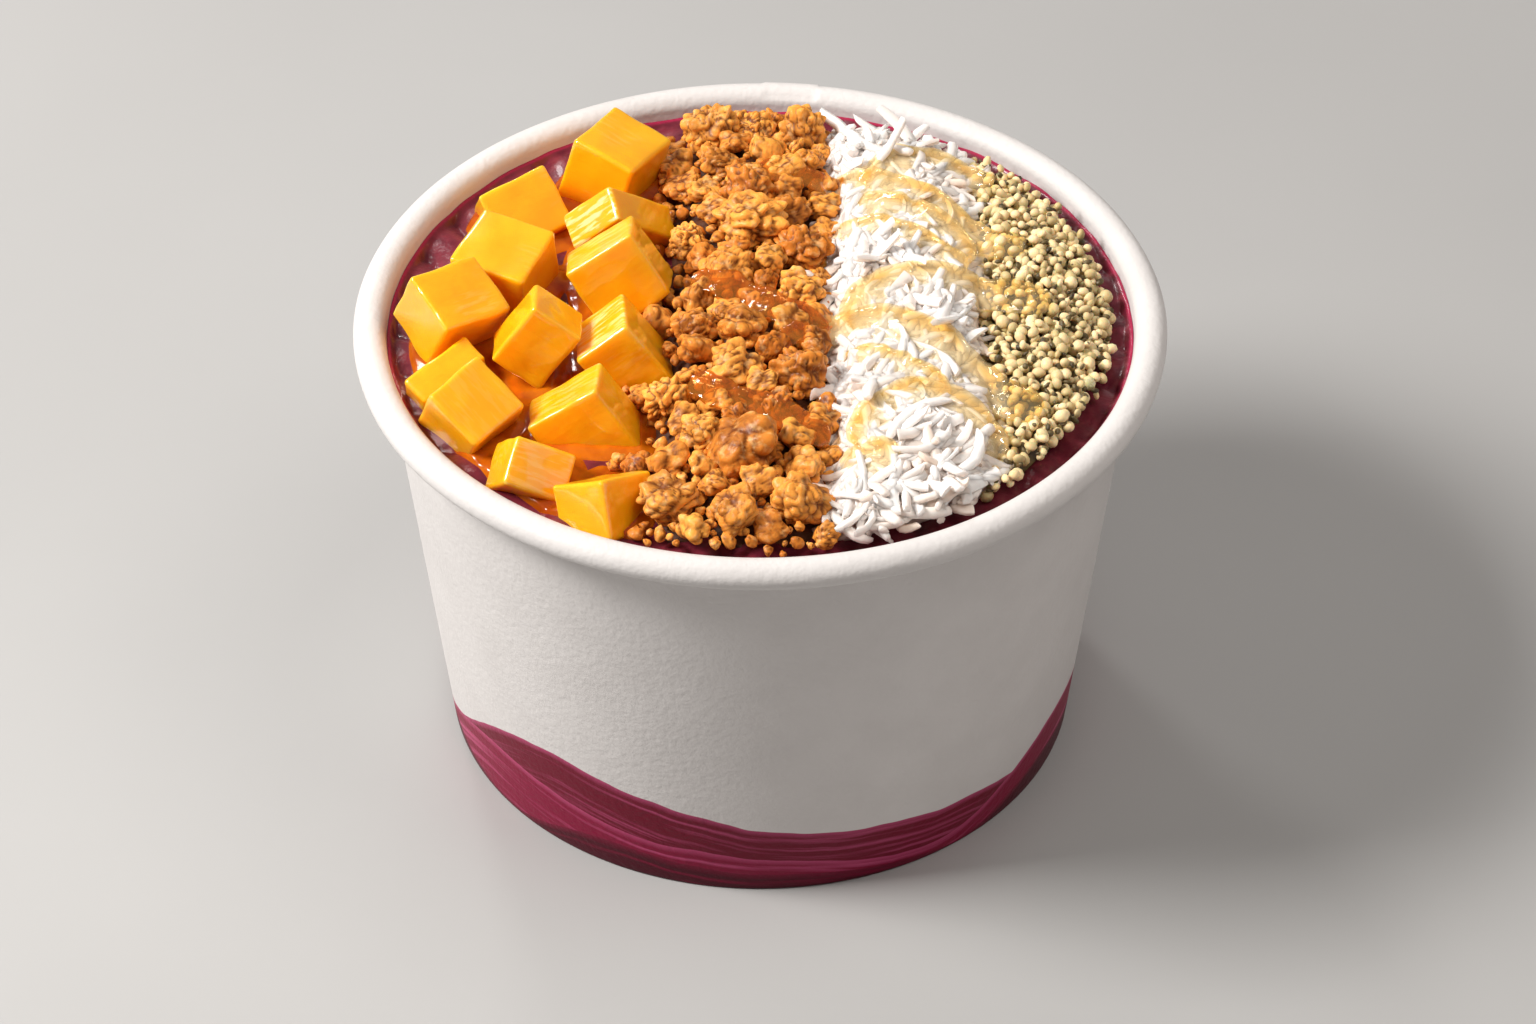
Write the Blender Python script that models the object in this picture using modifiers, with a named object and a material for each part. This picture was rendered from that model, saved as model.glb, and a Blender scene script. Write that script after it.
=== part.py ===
"""An acai bowl in a round paper tub.

Acai puree fills the tub almost to its rolled rim. Mango cubes, a band of granola, a band of
shredded coconut under thick honey and a bed of hemp seeds lie on it from left to right.
Metres, +Z up. The origin is under the middle of the tub, on the surface that it stands on.
-Y is the front, so +X is to the right of someone who looks at the front.
"""

import math
import random

import bmesh
import bpy
from mathutils import Euler, Matrix, Vector, noise

MM = 0.001

# The tub
TUB_HEIGHT = 69 * MM
RIM_RADIUS = 57.5 * MM
FOOT_RADIUS = 46 * MM
PAPER = 0.5 * MM
ROLL_HALF_WIDTH = 2.3 * MM
ROLL_HALF_HEIGHT = 2.05 * MM
FOLD_HEIGHT = 6.5 * MM
BASE_TOP = 8 * MM
GAP = 0.3 * MM
TURN_STEPS = 52
ROLL_STEPS = 9

# The wall's outer face runs straight from the foot to the inner side of the rolled rim.
ROLL_RADIUS = RIM_RADIUS - ROLL_HALF_WIDTH
ROLL_LEVEL = TUB_HEIGHT - ROLL_HALF_HEIGHT
WALL_SLOPE = (ROLL_RADIUS - ROLL_HALF_WIDTH + PAPER - FOOT_RADIUS) / ROLL_LEVEL

# The puree
FILL_LEVEL = 65.5 * MM
MENISCUS = 0.8 * MM
RIPPLE_DEPTH = 0.7 * MM
RIPPLE_START = 44 * MM

# The bands' borders from left to right: x at the middle of the tub, lean along Y, wave number
GRANOLA_LEFT = (-13.5 * MM, 0.035, 1)
COCONUT_LEFT = (10.4 * MM, 0.0, 2)
HEMP_LEFT = (31.2 * MM, -0.02, 3)
BAND_REACH = 49 * MM
HEMP_RIGHT = (BAND_REACH - 0.4 * MM, 0.0, 4)
PIECE_REACH = 51.5 * MM
HEAP_FOOT = FILL_LEVEL + GAP
CUBE_TRIM = 0.2 * MM
CUBE_BEVEL = 0.65 * MM
SHRED_WIDTH = 1.5 * MM

# Each cube: its middle as x, y and height over the puree, its edge lengths, and its turn in degrees
MANGO_CUBES = (
    ((-21.5, 34.0, 3.5), (10.5, 12.5, 11.5), (-8, 14, -30)),
    ((-34.5, 25.2, 1.5), (11.0, 9.8, 9.0), (40, -12, 28)),
    ((-36.5, 9.4, 3.5), (11.8, 11.3, 11.0), (10, 4, -24)),
    ((-20.0, 19.5, 3.5), (9.5, 6.0, 14.0), (34, -42, -8)),
    ((-20.0, 6.5, 5.0), (11.5, 9.0, 11.0), (-20, -32, 10)),
    ((-43.5, -2.9, 5.5), (11.5, 10.0, 9.4), (24, 8, 40)),
    ((-31.0, -9.5, 6.0), (8.5, 8.3, 10.4), (-14, 36, -8)),
    ((-19.0, -9.0, 2.5), (9.0, 11.0, 11.5), (-14, -36, 12)),
    ((-44.0, -12.6, 0.4), (11.4, 4.8, 8.4), (20, -14, 40)),
    ((-39.9, -22.8, 3.0), (9.8, 9.8, 10.3), (14, 30, -38)),
    ((-23.8, -23.2, 1.0), (12.0, 8.0, 12.0), (-10, -34, 2)),
    ((-31.3, -33.9, 1.4), (9.3, 7.3, 8.0), (40, 28, 4)),
    ((-20.8, -40.3, 0.5), (9.5, 10.3, 8.5), (-24, -28, -32)),
    ((-33.0, -12.5, -3.5), (6.0, 6.0, 6.0), (10, 20, 30)),
)

# The granola's large clusters: x, y and width, with the widest made rounder
FINE_WIDTH = 7.9 * MM
CLUSTERS = (
    (-7.3, 42.5, 9.0), (6.0, 42.0, 7.5), (-0.8, 42.0, 5.5), (-6.0, 33.0, 6.5), (3.6, 31.0, 6.5),
    (7.0, 34.0, 5.0), (-11.5, 29.5, 6.0), (-2.0, 25.5, 8.0), (-1.7, 17.0, 10.0), (-10.3, 15.0, 6.0),
    (6.0, 12.0, 8.0), (-4.3, 6.0, 8.0), (5.6, 3.0, 7.0), (-9.2, -6.0, 7.0), (-2.6, -8.0, 7.5),
    (5.6, -17.0, 9.0), (-3.4, -16.5, 8.5), (-12.6, -21.0, 7.0), (-2.1, -34.0, 11.0), (6.2, -36.5, 6.5),
    (-11.8, -42.8, 9.0), (-3.7, -46.0, 7.0), (5.4, -43.6, 8.5), (-8.0, -31.0, 6.5), (1.8, -25.0, 6.0),
)

# Where thick honey lies, as plan points, and the half width of each strand
HONEY_ON_GRANOLA = (
    (1.9, ((-8.6, 2.4), (-4.6, 0.6), (-1.0, -2.0), (3.4, -5.0), (8.0, -6.4))),
    (1.6, ((-9.0, -20.8), (-4.3, -24.4), (1.7, -27.0), (7.6, -30.2))),
)
HONEY_ON_COCONUT = (
    (1.2, ((17.6, 29.5), (20.6, 33.0), (24.4, 34.8), (27.8, 33.6))),
    (1.4, ((13.0, 27.4), (17.0, 27.2), (22.3, 24.4), (28.2, 20.6))),
    (1.5, ((12.8, 16.0), (18.0, 15.2), (23.4, 14.0), (28.4, 10.2))),
    (1.5, ((15.4, -1.5), (18.9, 3.2), (24.0, 5.2), (28.4, 4.4))),
    (2.0, ((12.9, -5.2), (17.6, -6.0), (23.4, -9.2), (28.4, -14.0))),
    (1.6, ((14.6, -31.6), (17.1, -26.6), (21.4, -23.4), (26.6, -23.6))),
)


def mix(a, b, t):
    return a + (b - a) * t


def wall_radius(z):
    """The radius of the wall's outer face at height z."""
    return FOOT_RADIUS + WALL_SLOPE * z


def inner_radius(z):
    return wall_radius(z) - PAPER


def make_material(name, colour, roughness):
    """A Principled material, with the colour as linear red, green and blue."""
    made = bpy.data.materials.new(name)
    made.use_nodes = True
    shader = made.node_tree.nodes["Principled BSDF"]
    shader.inputs["Base Color"].default_value = (*colour, 1)
    shader.inputs["Roughness"].default_value = roughness
    shader.inputs["Metallic"].default_value = 0
    return made


def make_object(name, mesh, collection, finish=None):
    made = bpy.data.objects.new(name, mesh)
    collection.objects.link(made)
    if finish:
        mesh.materials.clear()
        mesh.materials.append(finish)
    return made


def mesh_of(bm, name):
    mesh = bpy.data.meshes.new(name)
    bm.to_mesh(mesh)
    bm.free()
    return mesh


def applied(obj):
    """Puts the evaluated mesh of an object in place of its modifiers."""
    graph = bpy.context.evaluated_depsgraph_get()
    mesh = bpy.data.meshes.new_from_object(obj.evaluated_get(graph))
    obj.modifiers.clear()
    obj.data = mesh
    return obj


def shade(obj, angle=40):
    obj.data.shade_smooth()
    obj.data.set_sharp_from_angle(angle=math.radians(angle))


def turned(name, points, closed, collection, finish):
    """A profile of (radius, z) points turned round Z. An open profile starts and ends on Z."""
    last = len(points) - 1
    edges = [(i, i + 1) for i in range(last)] + ([(last, 0)] if closed else [])
    mesh = bpy.data.meshes.new(name)
    mesh.from_pydata([(r, 0, z) for r, z in points], edges, [])
    made = make_object(name, mesh, collection, finish)
    screw = made.modifiers.new("Turn", "SCREW")
    screw.steps = screw.render_steps = TURN_STEPS
    screw.use_merge_vertices = True
    screw.merge_threshold = 1e-6
    return made


def roll_point(degrees):
    """A point of the rolled rim's section, an ellipse, counted from its outermost point upwards."""
    angle = math.radians(degrees)
    return (
        ROLL_RADIUS + ROLL_HALF_WIDTH * math.cos(angle),
        ROLL_LEVEL + ROLL_HALF_HEIGHT * math.sin(angle),
    )


def layer(offset, z):
    """A point at height z, a distance inside the wall's outer face."""
    return (wall_radius(z) - offset, z)


def make_wall(collection):
    """The wall: rolled out at the top, and folded up inside at the foot round the base's skirt."""
    meets_wall = -145
    outer_roll = [roll_point(mix(90, meets_wall, i / ROLL_STEPS)) for i in range(ROLL_STEPS + 1)]
    inner_roll = [roll_point(degrees) for degrees in (180, 135)]
    slot = PAPER + GAP
    fold = 2 * slot + PAPER
    foot = [
        layer(0, 0),
        layer(fold + PAPER, 0),
        layer(fold + PAPER, FOLD_HEIGHT),
        layer(fold, FOLD_HEIGHT),
        layer(fold, PAPER),
        layer(PAPER, PAPER),
    ]
    finish = make_material("tub_paper", (0.86, 0.85, 0.84), 0.5)
    made = turned("cup_wall", outer_roll + foot + inner_roll, True, collection, finish)
    shade(applied(made), 60)
    return made


def make_base(collection):
    """The base disc, raised above the foot, with the skirt that the wall's fold holds."""
    outside = PAPER + GAP
    inside = outside + PAPER
    skirt_end = PAPER + GAP
    under = BASE_TOP - PAPER
    points = [
        (0, BASE_TOP),
        layer(outside, BASE_TOP),
        layer(outside, skirt_end),
        layer(inside, skirt_end),
        layer(inside, under),
        (0, under),
    ]
    finish = make_material("base_paper", (0.84, 0.83, 0.82), 0.55)
    made = turned("cup_base", points, False, collection, finish)
    shade(applied(made), 40)
    return made


def make_cube_mesh(name, size, seed):
    """A cut cube of fruit: a bevelled box whose corners sit a little inside the true box."""
    chance = random.Random(seed)
    bm = bmesh.new()
    bmesh.ops.create_cube(bm, size=1)
    for corner in bm.verts:
        for axis in range(3):
            trimmed = size[axis] * MM - 2 * chance.uniform(0, CUBE_TRIM)
            corner.co[axis] = math.copysign(trimmed / 2, corner.co[axis])
    edges = list(bm.edges)
    bmesh.ops.bevel(
        bm, geom=edges, offset=CUBE_BEVEL, segments=2, profile=0.5, affect="EDGES"
    )
    return mesh_of(bm, name)


def cube_matrix(place, turn):
    x, y, over = place
    at = Matrix.Translation((x * MM, y * MM, FILL_LEVEL + over * MM))
    return at @ Euler([math.radians(a) for a in turn]).to_matrix().to_4x4()


def make_mango(collection, cutters):
    """The mango cubes, and for each a plain box that cuts its pocket in the puree."""
    finish = make_material("mango", (0.95, 0.47, 0.03), 0.25)
    for count, (place, size, turn) in enumerate(MANGO_CUBES, 1):
        name = f"mango_cube_{count:02d}"
        made = make_object(name, make_cube_mesh(name, size, count), collection, finish)
        made.matrix_world = cube_matrix(place, turn)
        shade(made, 35)
        bpy.ops.mesh.primitive_cube_add(size=1)
        pocket = bpy.context.object
        pocket.name = f"pocket_{count:02d}"
        pocket.matrix_world = made.matrix_world @ Matrix.Diagonal(
            [edge * MM + 2 * GAP for edge in size] + [1]
        )
        move_to(pocket, cutters)


def move_to(obj, collection):
    """Puts a helper object in a collection of cutters, out of renders."""
    for holder in list(obj.users_collection):
        holder.objects.unlink(obj)
    collection.objects.link(obj)
    obj.hide_render = True
    obj.display_type = "WIRE"


def gap_to_mango(point):
    """The distance from a point to the nearest mango cube."""
    nearest = 1.0
    for place, size, turn in MANGO_CUBES:
        local = cube_matrix(place, turn).inverted() @ point
        beyond = [max(abs(local[i]) - size[i] * MM / 2, 0) for i in range(3)]
        nearest = min(nearest, Vector(beyond).length)
    return nearest


def ripple(radius, angle):
    """How far the puree's surface lies over its level: scalloped folds that the spoon left."""
    depth = min(max((radius - RIPPLE_START) / (3 * MM), 0), 1)
    folds = math.sin(13 * angle + 900 * radius) * math.sin(5 * angle + 1.3)
    return -RIPPLE_DEPTH * depth * (0.5 + 0.5 * folds)


def make_puree(collection, cutters):
    """The puree: a turned plug with ripples near the wall, a meniscus, and the mango's pockets."""
    low = BASE_TOP + GAP
    edge = inner_radius(FILL_LEVEL + MENISCUS) - GAP
    rings = [50.9 * MM, 49.2 * MM, 47.5 * MM, 45.5 * MM, 40 * MM]
    points = [(0, FILL_LEVEL)]
    points += [(radius, FILL_LEVEL) for radius in reversed(rings)]
    points += [(edge, FILL_LEVEL + MENISCUS), (inner_radius(low) - GAP, low), (0, low)]
    finish = make_material("acai_puree", (0.13, 0.008, 0.045), 0.25)
    made = turned("acai_puree", points, False, collection, finish)
    applied(made)
    for vertex in made.data.vertices:
        x, y, z = vertex.co
        if abs(z - FILL_LEVEL) < GAP:
            vertex.co.z += ripple(math.hypot(x, y), math.atan2(y, x))
    cut_by(made, cutters)
    keep_largest(made)
    shade(made, 40)
    return made


def cut_by(obj, cutters):
    """Cuts every shape of a collection out of an object."""
    cut = obj.modifiers.new("Cut", "BOOLEAN")
    cut.operation = "DIFFERENCE"
    cut.operand_type = "COLLECTION"
    cut.collection = cutters
    applied(obj)


def islands(bm):
    """The separate shells of a mesh, each as a list of faces."""
    left = set(bm.faces)
    while left:
        shell, edge = [], [left.pop()]
        while edge:
            face = edge.pop()
            shell.append(face)
            for side in face.edges:
                for other in side.link_faces:
                    if other in left:
                        left.remove(other)
                        edge.append(other)
        yield shell


def shell_size(shell):
    """The volume of the box round a shell."""
    spots = [vertex.co for face in shell for vertex in face.verts]
    sides = [max(s[i] for s in spots) - min(s[i] for s in spots) for i in range(3)]
    return sides[0] * sides[1] * sides[2]


def keep_largest(obj):
    """Drops loose scraps, and fills sealed hollows, by keeping only the outer shell."""
    bm = bmesh.new()
    bm.from_mesh(obj.data)
    shells = sorted(islands(bm), key=shell_size)
    for shell in shells[:-1]:
        bmesh.ops.delete(bm, geom=shell, context="FACES")
    loose = [vertex for vertex in bm.verts if not vertex.link_faces]
    bmesh.ops.delete(bm, geom=loose, context="VERTS")
    bm.to_mesh(obj.data)
    bm.free()


def border(line, y):
    """The x of a band's border at y: a leaning line with a slow sideways wander."""
    middle, lean, wave = line
    return middle + lean * y + 0.9 * MM * noise.noise(Vector((y * 60, wave, 0)))


def across(x, y, left, right):
    """Where a point lies between two borders, from -1 to 1."""
    low, high = border(left, y), border(right, y)
    return (2 * x - low - high) / (high - low)


def granola_height(x, y):
    """The bare granola core's top over its foot."""
    return heap_top(x, y, across(x, y, GRANOLA_LEFT, COCONUT_LEFT), 3.8 * MM, 1.2 * MM)


def coconut_height(x, y):
    return heap_top(x, y, across(x, y, COCONUT_LEFT, HEMP_LEFT), 4.6 * MM, 0.7 * MM)


def hemp_height(x, y):
    return heap_top(x, y, across(x, y, HEMP_LEFT, HEMP_RIGHT), 3.6 * MM, 0.5 * MM)


def heap_top(x, y, share, crown, lumps):
    """A heap's top: low at its borders and at the tub's wall, crowned between them, with lumps."""
    side = max(1 - abs(share) ** 2.6, 0) ** 0.6
    end = max(1 - (math.hypot(x, y) / (PIECE_REACH + MM)) ** 8, 0)
    rough = lumps * noise.noise(Vector((x, y, 0)) * 220)
    return 1.1 * MM + crown * side * end + rough * side


def make_core(name, left, right, height, cells, collection, finish):
    """A band's core: a grid between two borders, lifted to its height and drawn down to its foot."""
    bm = bmesh.new()
    bmesh.ops.create_grid(bm, x_segments=cells[0], y_segments=cells[1], size=1)
    for vertex in bm.verts:
        share = vertex.co.x / 2 + 0.5
        y = vertex.co.y * math.sqrt(BAND_REACH**2 - mix(left[0], right[0], share) ** 2)
        x = mix(border(left, y) + GAP / 2, border(right, y) - GAP / 2, share)
        vertex.co = (x, y, HEAP_FOOT + height(x, y))
    lifted = bmesh.ops.extrude_face_region(bm, geom=bm.faces[:])["geom"]
    for item in lifted:
        if isinstance(item, bmesh.types.BMVert):
            item.co.z = HEAP_FOOT
    bmesh.ops.recalc_face_normals(bm, faces=bm.faces[:])
    under = [face for face in bm.faces if face.normal.z < -0.99]
    bmesh.ops.dissolve_faces(bm, faces=under)
    return make_object(name, mesh_of(bm, name), collection, finish)


def lump(spot, width, detail, rough, seed, collection):
    """A knobbly nugget: a flattened icosphere pushed in and out by noise."""
    bm = bmesh.new()
    bmesh.ops.create_icosphere(bm, subdivisions=detail, radius=width / 2)
    chance = random.Random(seed)
    turn = Euler([chance.uniform(-0.5, 0.5) for _ in range(2)] + [chance.uniform(0, 6.28)])
    squash = Matrix.Diagonal((1, chance.uniform(0.78, 0.95), chance.uniform(0.68, 0.85)))
    for vertex in bm.verts:
        swell = 1 + rough * noise.noise(vertex.co / width * 4 + Vector((seed, 0, 0)))
        vertex.co = turn.to_matrix() @ squash @ (vertex.co * swell) + spot
    return make_object("lump", mesh_of(bm, "lump"), collection)


def fuse(core, pieces):
    """Joins a core and the pieces of a collection into one shell, and removes the pieces."""
    join = core.modifiers.new("Join", "BOOLEAN")
    join.operation = "UNION"
    join.operand_type = "COLLECTION"
    join.collection = pieces
    applied(core)
    for piece in list(pieces.objects):
        bpy.data.objects.remove(piece)
    bpy.data.collections.remove(pieces)
    keep_largest(core)
    shade(core, 50)


def new_collection(name, hidden=False):
    made = bpy.data.collections.new(name)
    bpy.context.scene.collection.children.link(made)
    made.hide_render = hidden
    return made


def seated(spot, radius):
    """Whether a ball at a spot is clear of the mango, the tub and the puree."""
    reach = min(PIECE_REACH, inner_radius(spot.z) - GAP)
    in_tub = math.hypot(spot.x, spot.y) + radius < reach or spot.z > TUB_HEIGHT + radius
    return in_tub and gap_to_mango(spot) > radius + GAP


def between(x, y, half, left, right):
    """Moves a piece of this half width sideways until it is clear of a band's two borders."""
    return min(max(x, border(left, y) + half + GAP / 2), border(right, y) - half - GAP / 2)


def scatter(left, right, pitch, seed):
    """Places all over a band, one in each cell of a brick-laid grid, moved about at random."""
    chance = random.Random(seed)
    rows = int(2 * BAND_REACH / (pitch * 0.87))
    for row in range(rows):
        y = -BAND_REACH + (row + 0.5) * pitch * 0.87
        x = border(left, y) + (0.25 if row % 2 else 0.75) * pitch
        while x < border(right, y):
            yield (
                x + chance.uniform(-0.22, 0.22) * pitch,
                y + chance.uniform(-0.22, 0.22) * pitch,
                chance,
            )
            x += pitch


def make_honey(strands, height, over, collection):
    """Thick honey strands as flat ribbons that lie along a heap."""
    for count, (half_width, plan) in enumerate(strands):
        curve = bpy.data.curves.new(f"honey_{count}", "CURVE")
        curve.dimensions = "3D"
        curve.twist_mode = "Z_UP"
        curve.extrude = (half_width - 0.6) * MM
        curve.bevel_depth = 0.6 * MM
        curve.bevel_resolution = 0
        curve.use_fill_caps = True
        curve.resolution_u = 2
        spline = curve.splines.new("NURBS")
        spline.points.add(len(plan) - 1)
        spline.use_endpoint_u = True
        spline.order_u = 4
        for point, (x, y) in zip(spline.points, plan):
            z = HEAP_FOOT + height(x * MM, y * MM) + over
            point.co = (x * MM, y * MM, z, 1)
            point.tilt = math.pi / 2
        guide = make_object("guide", curve, collection)
        bpy.context.view_layer.update()
        mesh = bpy.data.meshes.new_from_object(
            guide.evaluated_get(bpy.context.evaluated_depsgraph_get())
        )
        bpy.data.objects.remove(guide)
        bm = bmesh.new()
        bm.from_mesh(mesh)
        bmesh.ops.remove_doubles(bm, verts=bm.verts[:], dist=1e-6)
        bmesh.ops.recalc_face_normals(bm, faces=bm.faces[:])
        make_object("honey", mesh_of(bm, "honey"), collection)


def make_granola(collection, cutters):
    finish = make_material("granola", (0.46, 0.20, 0.055), 0.6)
    pieces = new_collection("granola_pieces", True)
    placed = []

    def add(x, y, width, detail, rough):
        radius = width / 2
        x = min(x, border(COCONUT_LEFT, y) - radius - GAP / 2)
        spot = Vector((x, y, HEAP_FOOT + granola_height(x, y) + 0.12 * width))
        crowded = any((spot - other).length < 0.72 * (radius + size) for other, size in placed)
        if not crowded and seated(spot, radius * 0.98):
            lump(spot, width, detail, rough, len(placed), pieces)
            placed.append((spot, radius))

    for x, y, width in CLUSTERS:
        add(x * MM, y * MM, width * MM, 2 if width * MM > FINE_WIDTH else 1, 0.35)
    for x, y, chance in scatter(GRANOLA_LEFT, COCONUT_LEFT, 5.0 * MM, 5):
        add(x, y, chance.uniform(3.6, 5.4) * MM, 1, 0.3)
    make_honey(HONEY_ON_GRANOLA, granola_height, 2.4 * MM, pieces)
    core = make_core(
        "granola", GRANOLA_LEFT, COCONUT_LEFT, granola_height, (6, 22), collection, finish
    )
    cut_by(core, cutters)
    fuse(core, pieces)


def strip(spot, length, heading, rise, bend, collection):
    """A coconut shred: a thin box of two lengths, bowed upwards."""
    bm = bmesh.new()
    bmesh.ops.create_cube(bm, size=1)
    along = [edge for edge in bm.edges if abs((edge.verts[0].co - edge.verts[1].co).x) > 0.5]
    bmesh.ops.subdivide_edges(bm, edges=along, cuts=1, use_grid_fill=True)
    turn = Euler((0, -rise, heading)).to_matrix()
    for vertex in bm.verts:
        arch = bend * (1 - (2 * vertex.co.x) ** 2)
        taper = 1 - 0.5 * abs(2 * vertex.co.x) ** 3
        width = vertex.co.y * SHRED_WIDTH * taper
        local = Vector((vertex.co.x * length, width, vertex.co.z * MM + arch))
        vertex.co = turn @ local + spot
    return make_object("strip", mesh_of(bm, "strip"), collection)


def add_strip(x, y, chance, collection):
    """Lays one shred on the coconut, shorter and turned where it would leave its band."""
    heading = chance.gauss(0.9, 1.0)
    rise = chance.gauss(0, 0.12)
    full = chance.uniform(7, 12) * MM
    for length, heading in ((full, heading), (0.6 * full, heading), (0.6 * full, 0.3 * heading)):
        along = Vector((math.cos(heading), math.sin(heading), 0))
        half = length / 2
        side = half * abs(along.x) + SHRED_WIDTH / 2
        moved = between(x, y, side, COCONUT_LEFT, HEMP_LEFT)
        spot = Vector((moved, y, HEAP_FOOT + coconut_height(moved, y) + 0.35 * MM))
        if all(seated(spot + side * half * along, 0.9 * MM) for side in (-1, 1)):
            strip(spot, length, heading, rise, 0.7 * MM, collection)
            return


def make_coconut(collection):
    finish = make_material("coconut", (0.87, 0.85, 0.82), 0.5)
    pieces = new_collection("coconut_pieces", True)
    for x, y, chance in scatter(COCONUT_LEFT, HEMP_LEFT, 6.9 * MM, 11):
        add_strip(x, y, chance, pieces)
    make_honey(HONEY_ON_COCONUT, coconut_height, 0.9 * MM, pieces)
    core = make_core(
        "coconut", COCONUT_LEFT, HEMP_LEFT, coconut_height, (5, 18), collection, finish
    )
    fuse(core, pieces)


def make_hemp(collection):
    finish = make_material("hemp_seeds", (0.50, 0.45, 0.27), 0.55)
    pieces = new_collection("hemp_pieces", True)
    for x, y, chance in scatter(HEMP_LEFT, HEMP_RIGHT, 4.8 * MM, 17):
        width = chance.uniform(1.7, 2.2) * MM
        x = between(x, y, width / 2, HEMP_LEFT, HEMP_RIGHT)
        spot = Vector((x, y, HEAP_FOOT + hemp_height(x, y) + 0.2 * width))
        if math.hypot(x, y) < BAND_REACH - width / 2:
            lump(spot, width, 1, 0.1, chance.randrange(99), pieces)
    core = make_core(
        "hemp_seeds", HEMP_LEFT, HEMP_RIGHT, hemp_height, (5, 16), collection, finish
    )
    fuse(core, pieces)


def main():
    for old in list(bpy.data.objects):
        bpy.data.objects.remove(old)
    bowl = new_collection("acai_bowl")
    cutters = new_collection("cutters", True)
    make_wall(bowl)
    make_base(bowl)
    make_mango(bowl, cutters)
    make_puree(bowl, cutters)
    make_granola(bowl, cutters)
    make_coconut(bowl)
    make_hemp(bowl)


main()
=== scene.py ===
# %% [markdown]
# # An acai bowl in a round paper tub
#
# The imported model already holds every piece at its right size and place: a tub with its base, a plug of
# puree, fourteen cubes of mango and three heaps. This lesson dresses it. Each step takes one piece of the
# real bowl, says what it is, and lays a finer surface where the solid was. All lengths are in metres.

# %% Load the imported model
import math

import bpy
import numpy as np
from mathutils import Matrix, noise


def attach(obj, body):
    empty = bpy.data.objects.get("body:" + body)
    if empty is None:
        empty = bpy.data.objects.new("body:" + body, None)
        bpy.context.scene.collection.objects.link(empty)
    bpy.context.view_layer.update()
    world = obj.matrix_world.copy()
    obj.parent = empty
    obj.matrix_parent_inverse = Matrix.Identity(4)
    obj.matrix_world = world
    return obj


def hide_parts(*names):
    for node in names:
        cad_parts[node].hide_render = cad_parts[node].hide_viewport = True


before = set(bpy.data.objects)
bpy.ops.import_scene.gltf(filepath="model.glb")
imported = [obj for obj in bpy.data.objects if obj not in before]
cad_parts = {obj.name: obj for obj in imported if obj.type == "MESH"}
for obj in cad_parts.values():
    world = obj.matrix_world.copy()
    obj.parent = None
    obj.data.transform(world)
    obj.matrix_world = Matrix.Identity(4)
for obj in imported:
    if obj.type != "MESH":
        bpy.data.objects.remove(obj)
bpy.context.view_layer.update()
MM = 0.001
print("solids in the frame:", len(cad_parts))

# %% [markdown]
# ## The camera
#
# The photograph looks down on the tub from the front at about forty degrees, from some way off, so the
# rim is a calm ellipse. A long lens at that distance gives the same outline. The camera comes first,
# because every later choice of detail depends on how large a millimetre is in the picture: about seven
# dots.

# %% Camera
LENS = 117.19
AIM = np.array([1.1, 0, 31.95]) * MM
LOOK_DOWN = math.radians(39.61)
DISTANCE = 729.7 * MM

camera = bpy.data.objects.new("camera", bpy.data.cameras.new("camera"))
bpy.context.scene.collection.objects.link(camera)
camera.data.lens = LENS
camera.data.sensor_width = 36
camera.location = AIM + DISTANCE * np.array([0, -math.cos(LOOK_DOWN), math.sin(LOOK_DOWN)])
camera.rotation_euler = (math.pi / 2 - LOOK_DOWN, 0, 0)
bpy.context.scene.camera = camera
print("camera stands at", [round(c, 3) for c in camera.location])

# %% [markdown]
# ## From arrays to meshes
#
# Every new piece is an array of points worked out by a formula, and an array of faces that joins them.
# One function turns such arrays into a mesh, hangs it on the bowl's body and hides the solids it stands
# for.

# %% Mesh from arrays
def make_piece(name, points, faces, finish, stands_for=(), marks=None, crease=None):
    """A mesh piece in the bowl. points is an (n, 3) array. faces is a list of (m, k) arrays of point
    numbers. marks are values at the points that materials read. Edges sharper than crease degrees stay
    sharp."""
    mesh = bpy.data.meshes.new(name)
    corners = np.concatenate([f.ravel() for f in faces])
    sizes = np.concatenate([np.full(len(f), f.shape[1]) for f in faces])
    mesh.vertices.add(len(points))
    mesh.vertices.foreach_set("co", np.asarray(points, np.float32).ravel())
    mesh.loops.add(len(corners))
    mesh.loops.foreach_set("vertex_index", corners.astype(np.int32))
    mesh.polygons.add(len(sizes))
    mesh.polygons.foreach_set("loop_start", (np.cumsum(sizes) - sizes).astype(np.int32))
    mesh.update(calc_edges=True)
    for label, values in (marks or {}).items():
        flat = np.ndim(values) == 1
        layer = mesh.attributes.new(label, "FLOAT" if flat else "FLOAT_VECTOR", "POINT")
        layer.data.foreach_set("value" if flat else "vector", np.asarray(values, np.float32).ravel())
    mesh.shade_smooth()
    if crease:
        mesh.set_sharp_from_angle(angle=math.radians(crease))
    mesh.materials.append(finish)
    piece = bpy.data.objects.new(name, mesh)
    bpy.context.scene.collection.objects.link(piece)
    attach(piece, "root")
    if stands_for:
        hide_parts(*stands_for)
    print(f"{name}: {len(points)} points, {(sizes - 2).sum()} triangles")
    return piece


# %% Faces of a grid
def grid_faces(rows, columns, closed_rows=False):
    """Quads of a grid whose points are numbered row after row. The last column joins the first, and with
    closed_rows the last row joins the first. Seen from outside, columns run left to right and rows up."""
    i = np.arange(rows if closed_rows else rows - 1)[:, None]
    j = np.arange(columns)[None]
    above, beside = (i + 1) % rows * columns, (j + 1) % columns
    i = i * columns
    return np.stack([i + j, i + beside, above + beside, above + j], -1).reshape(-1, 4)


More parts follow.
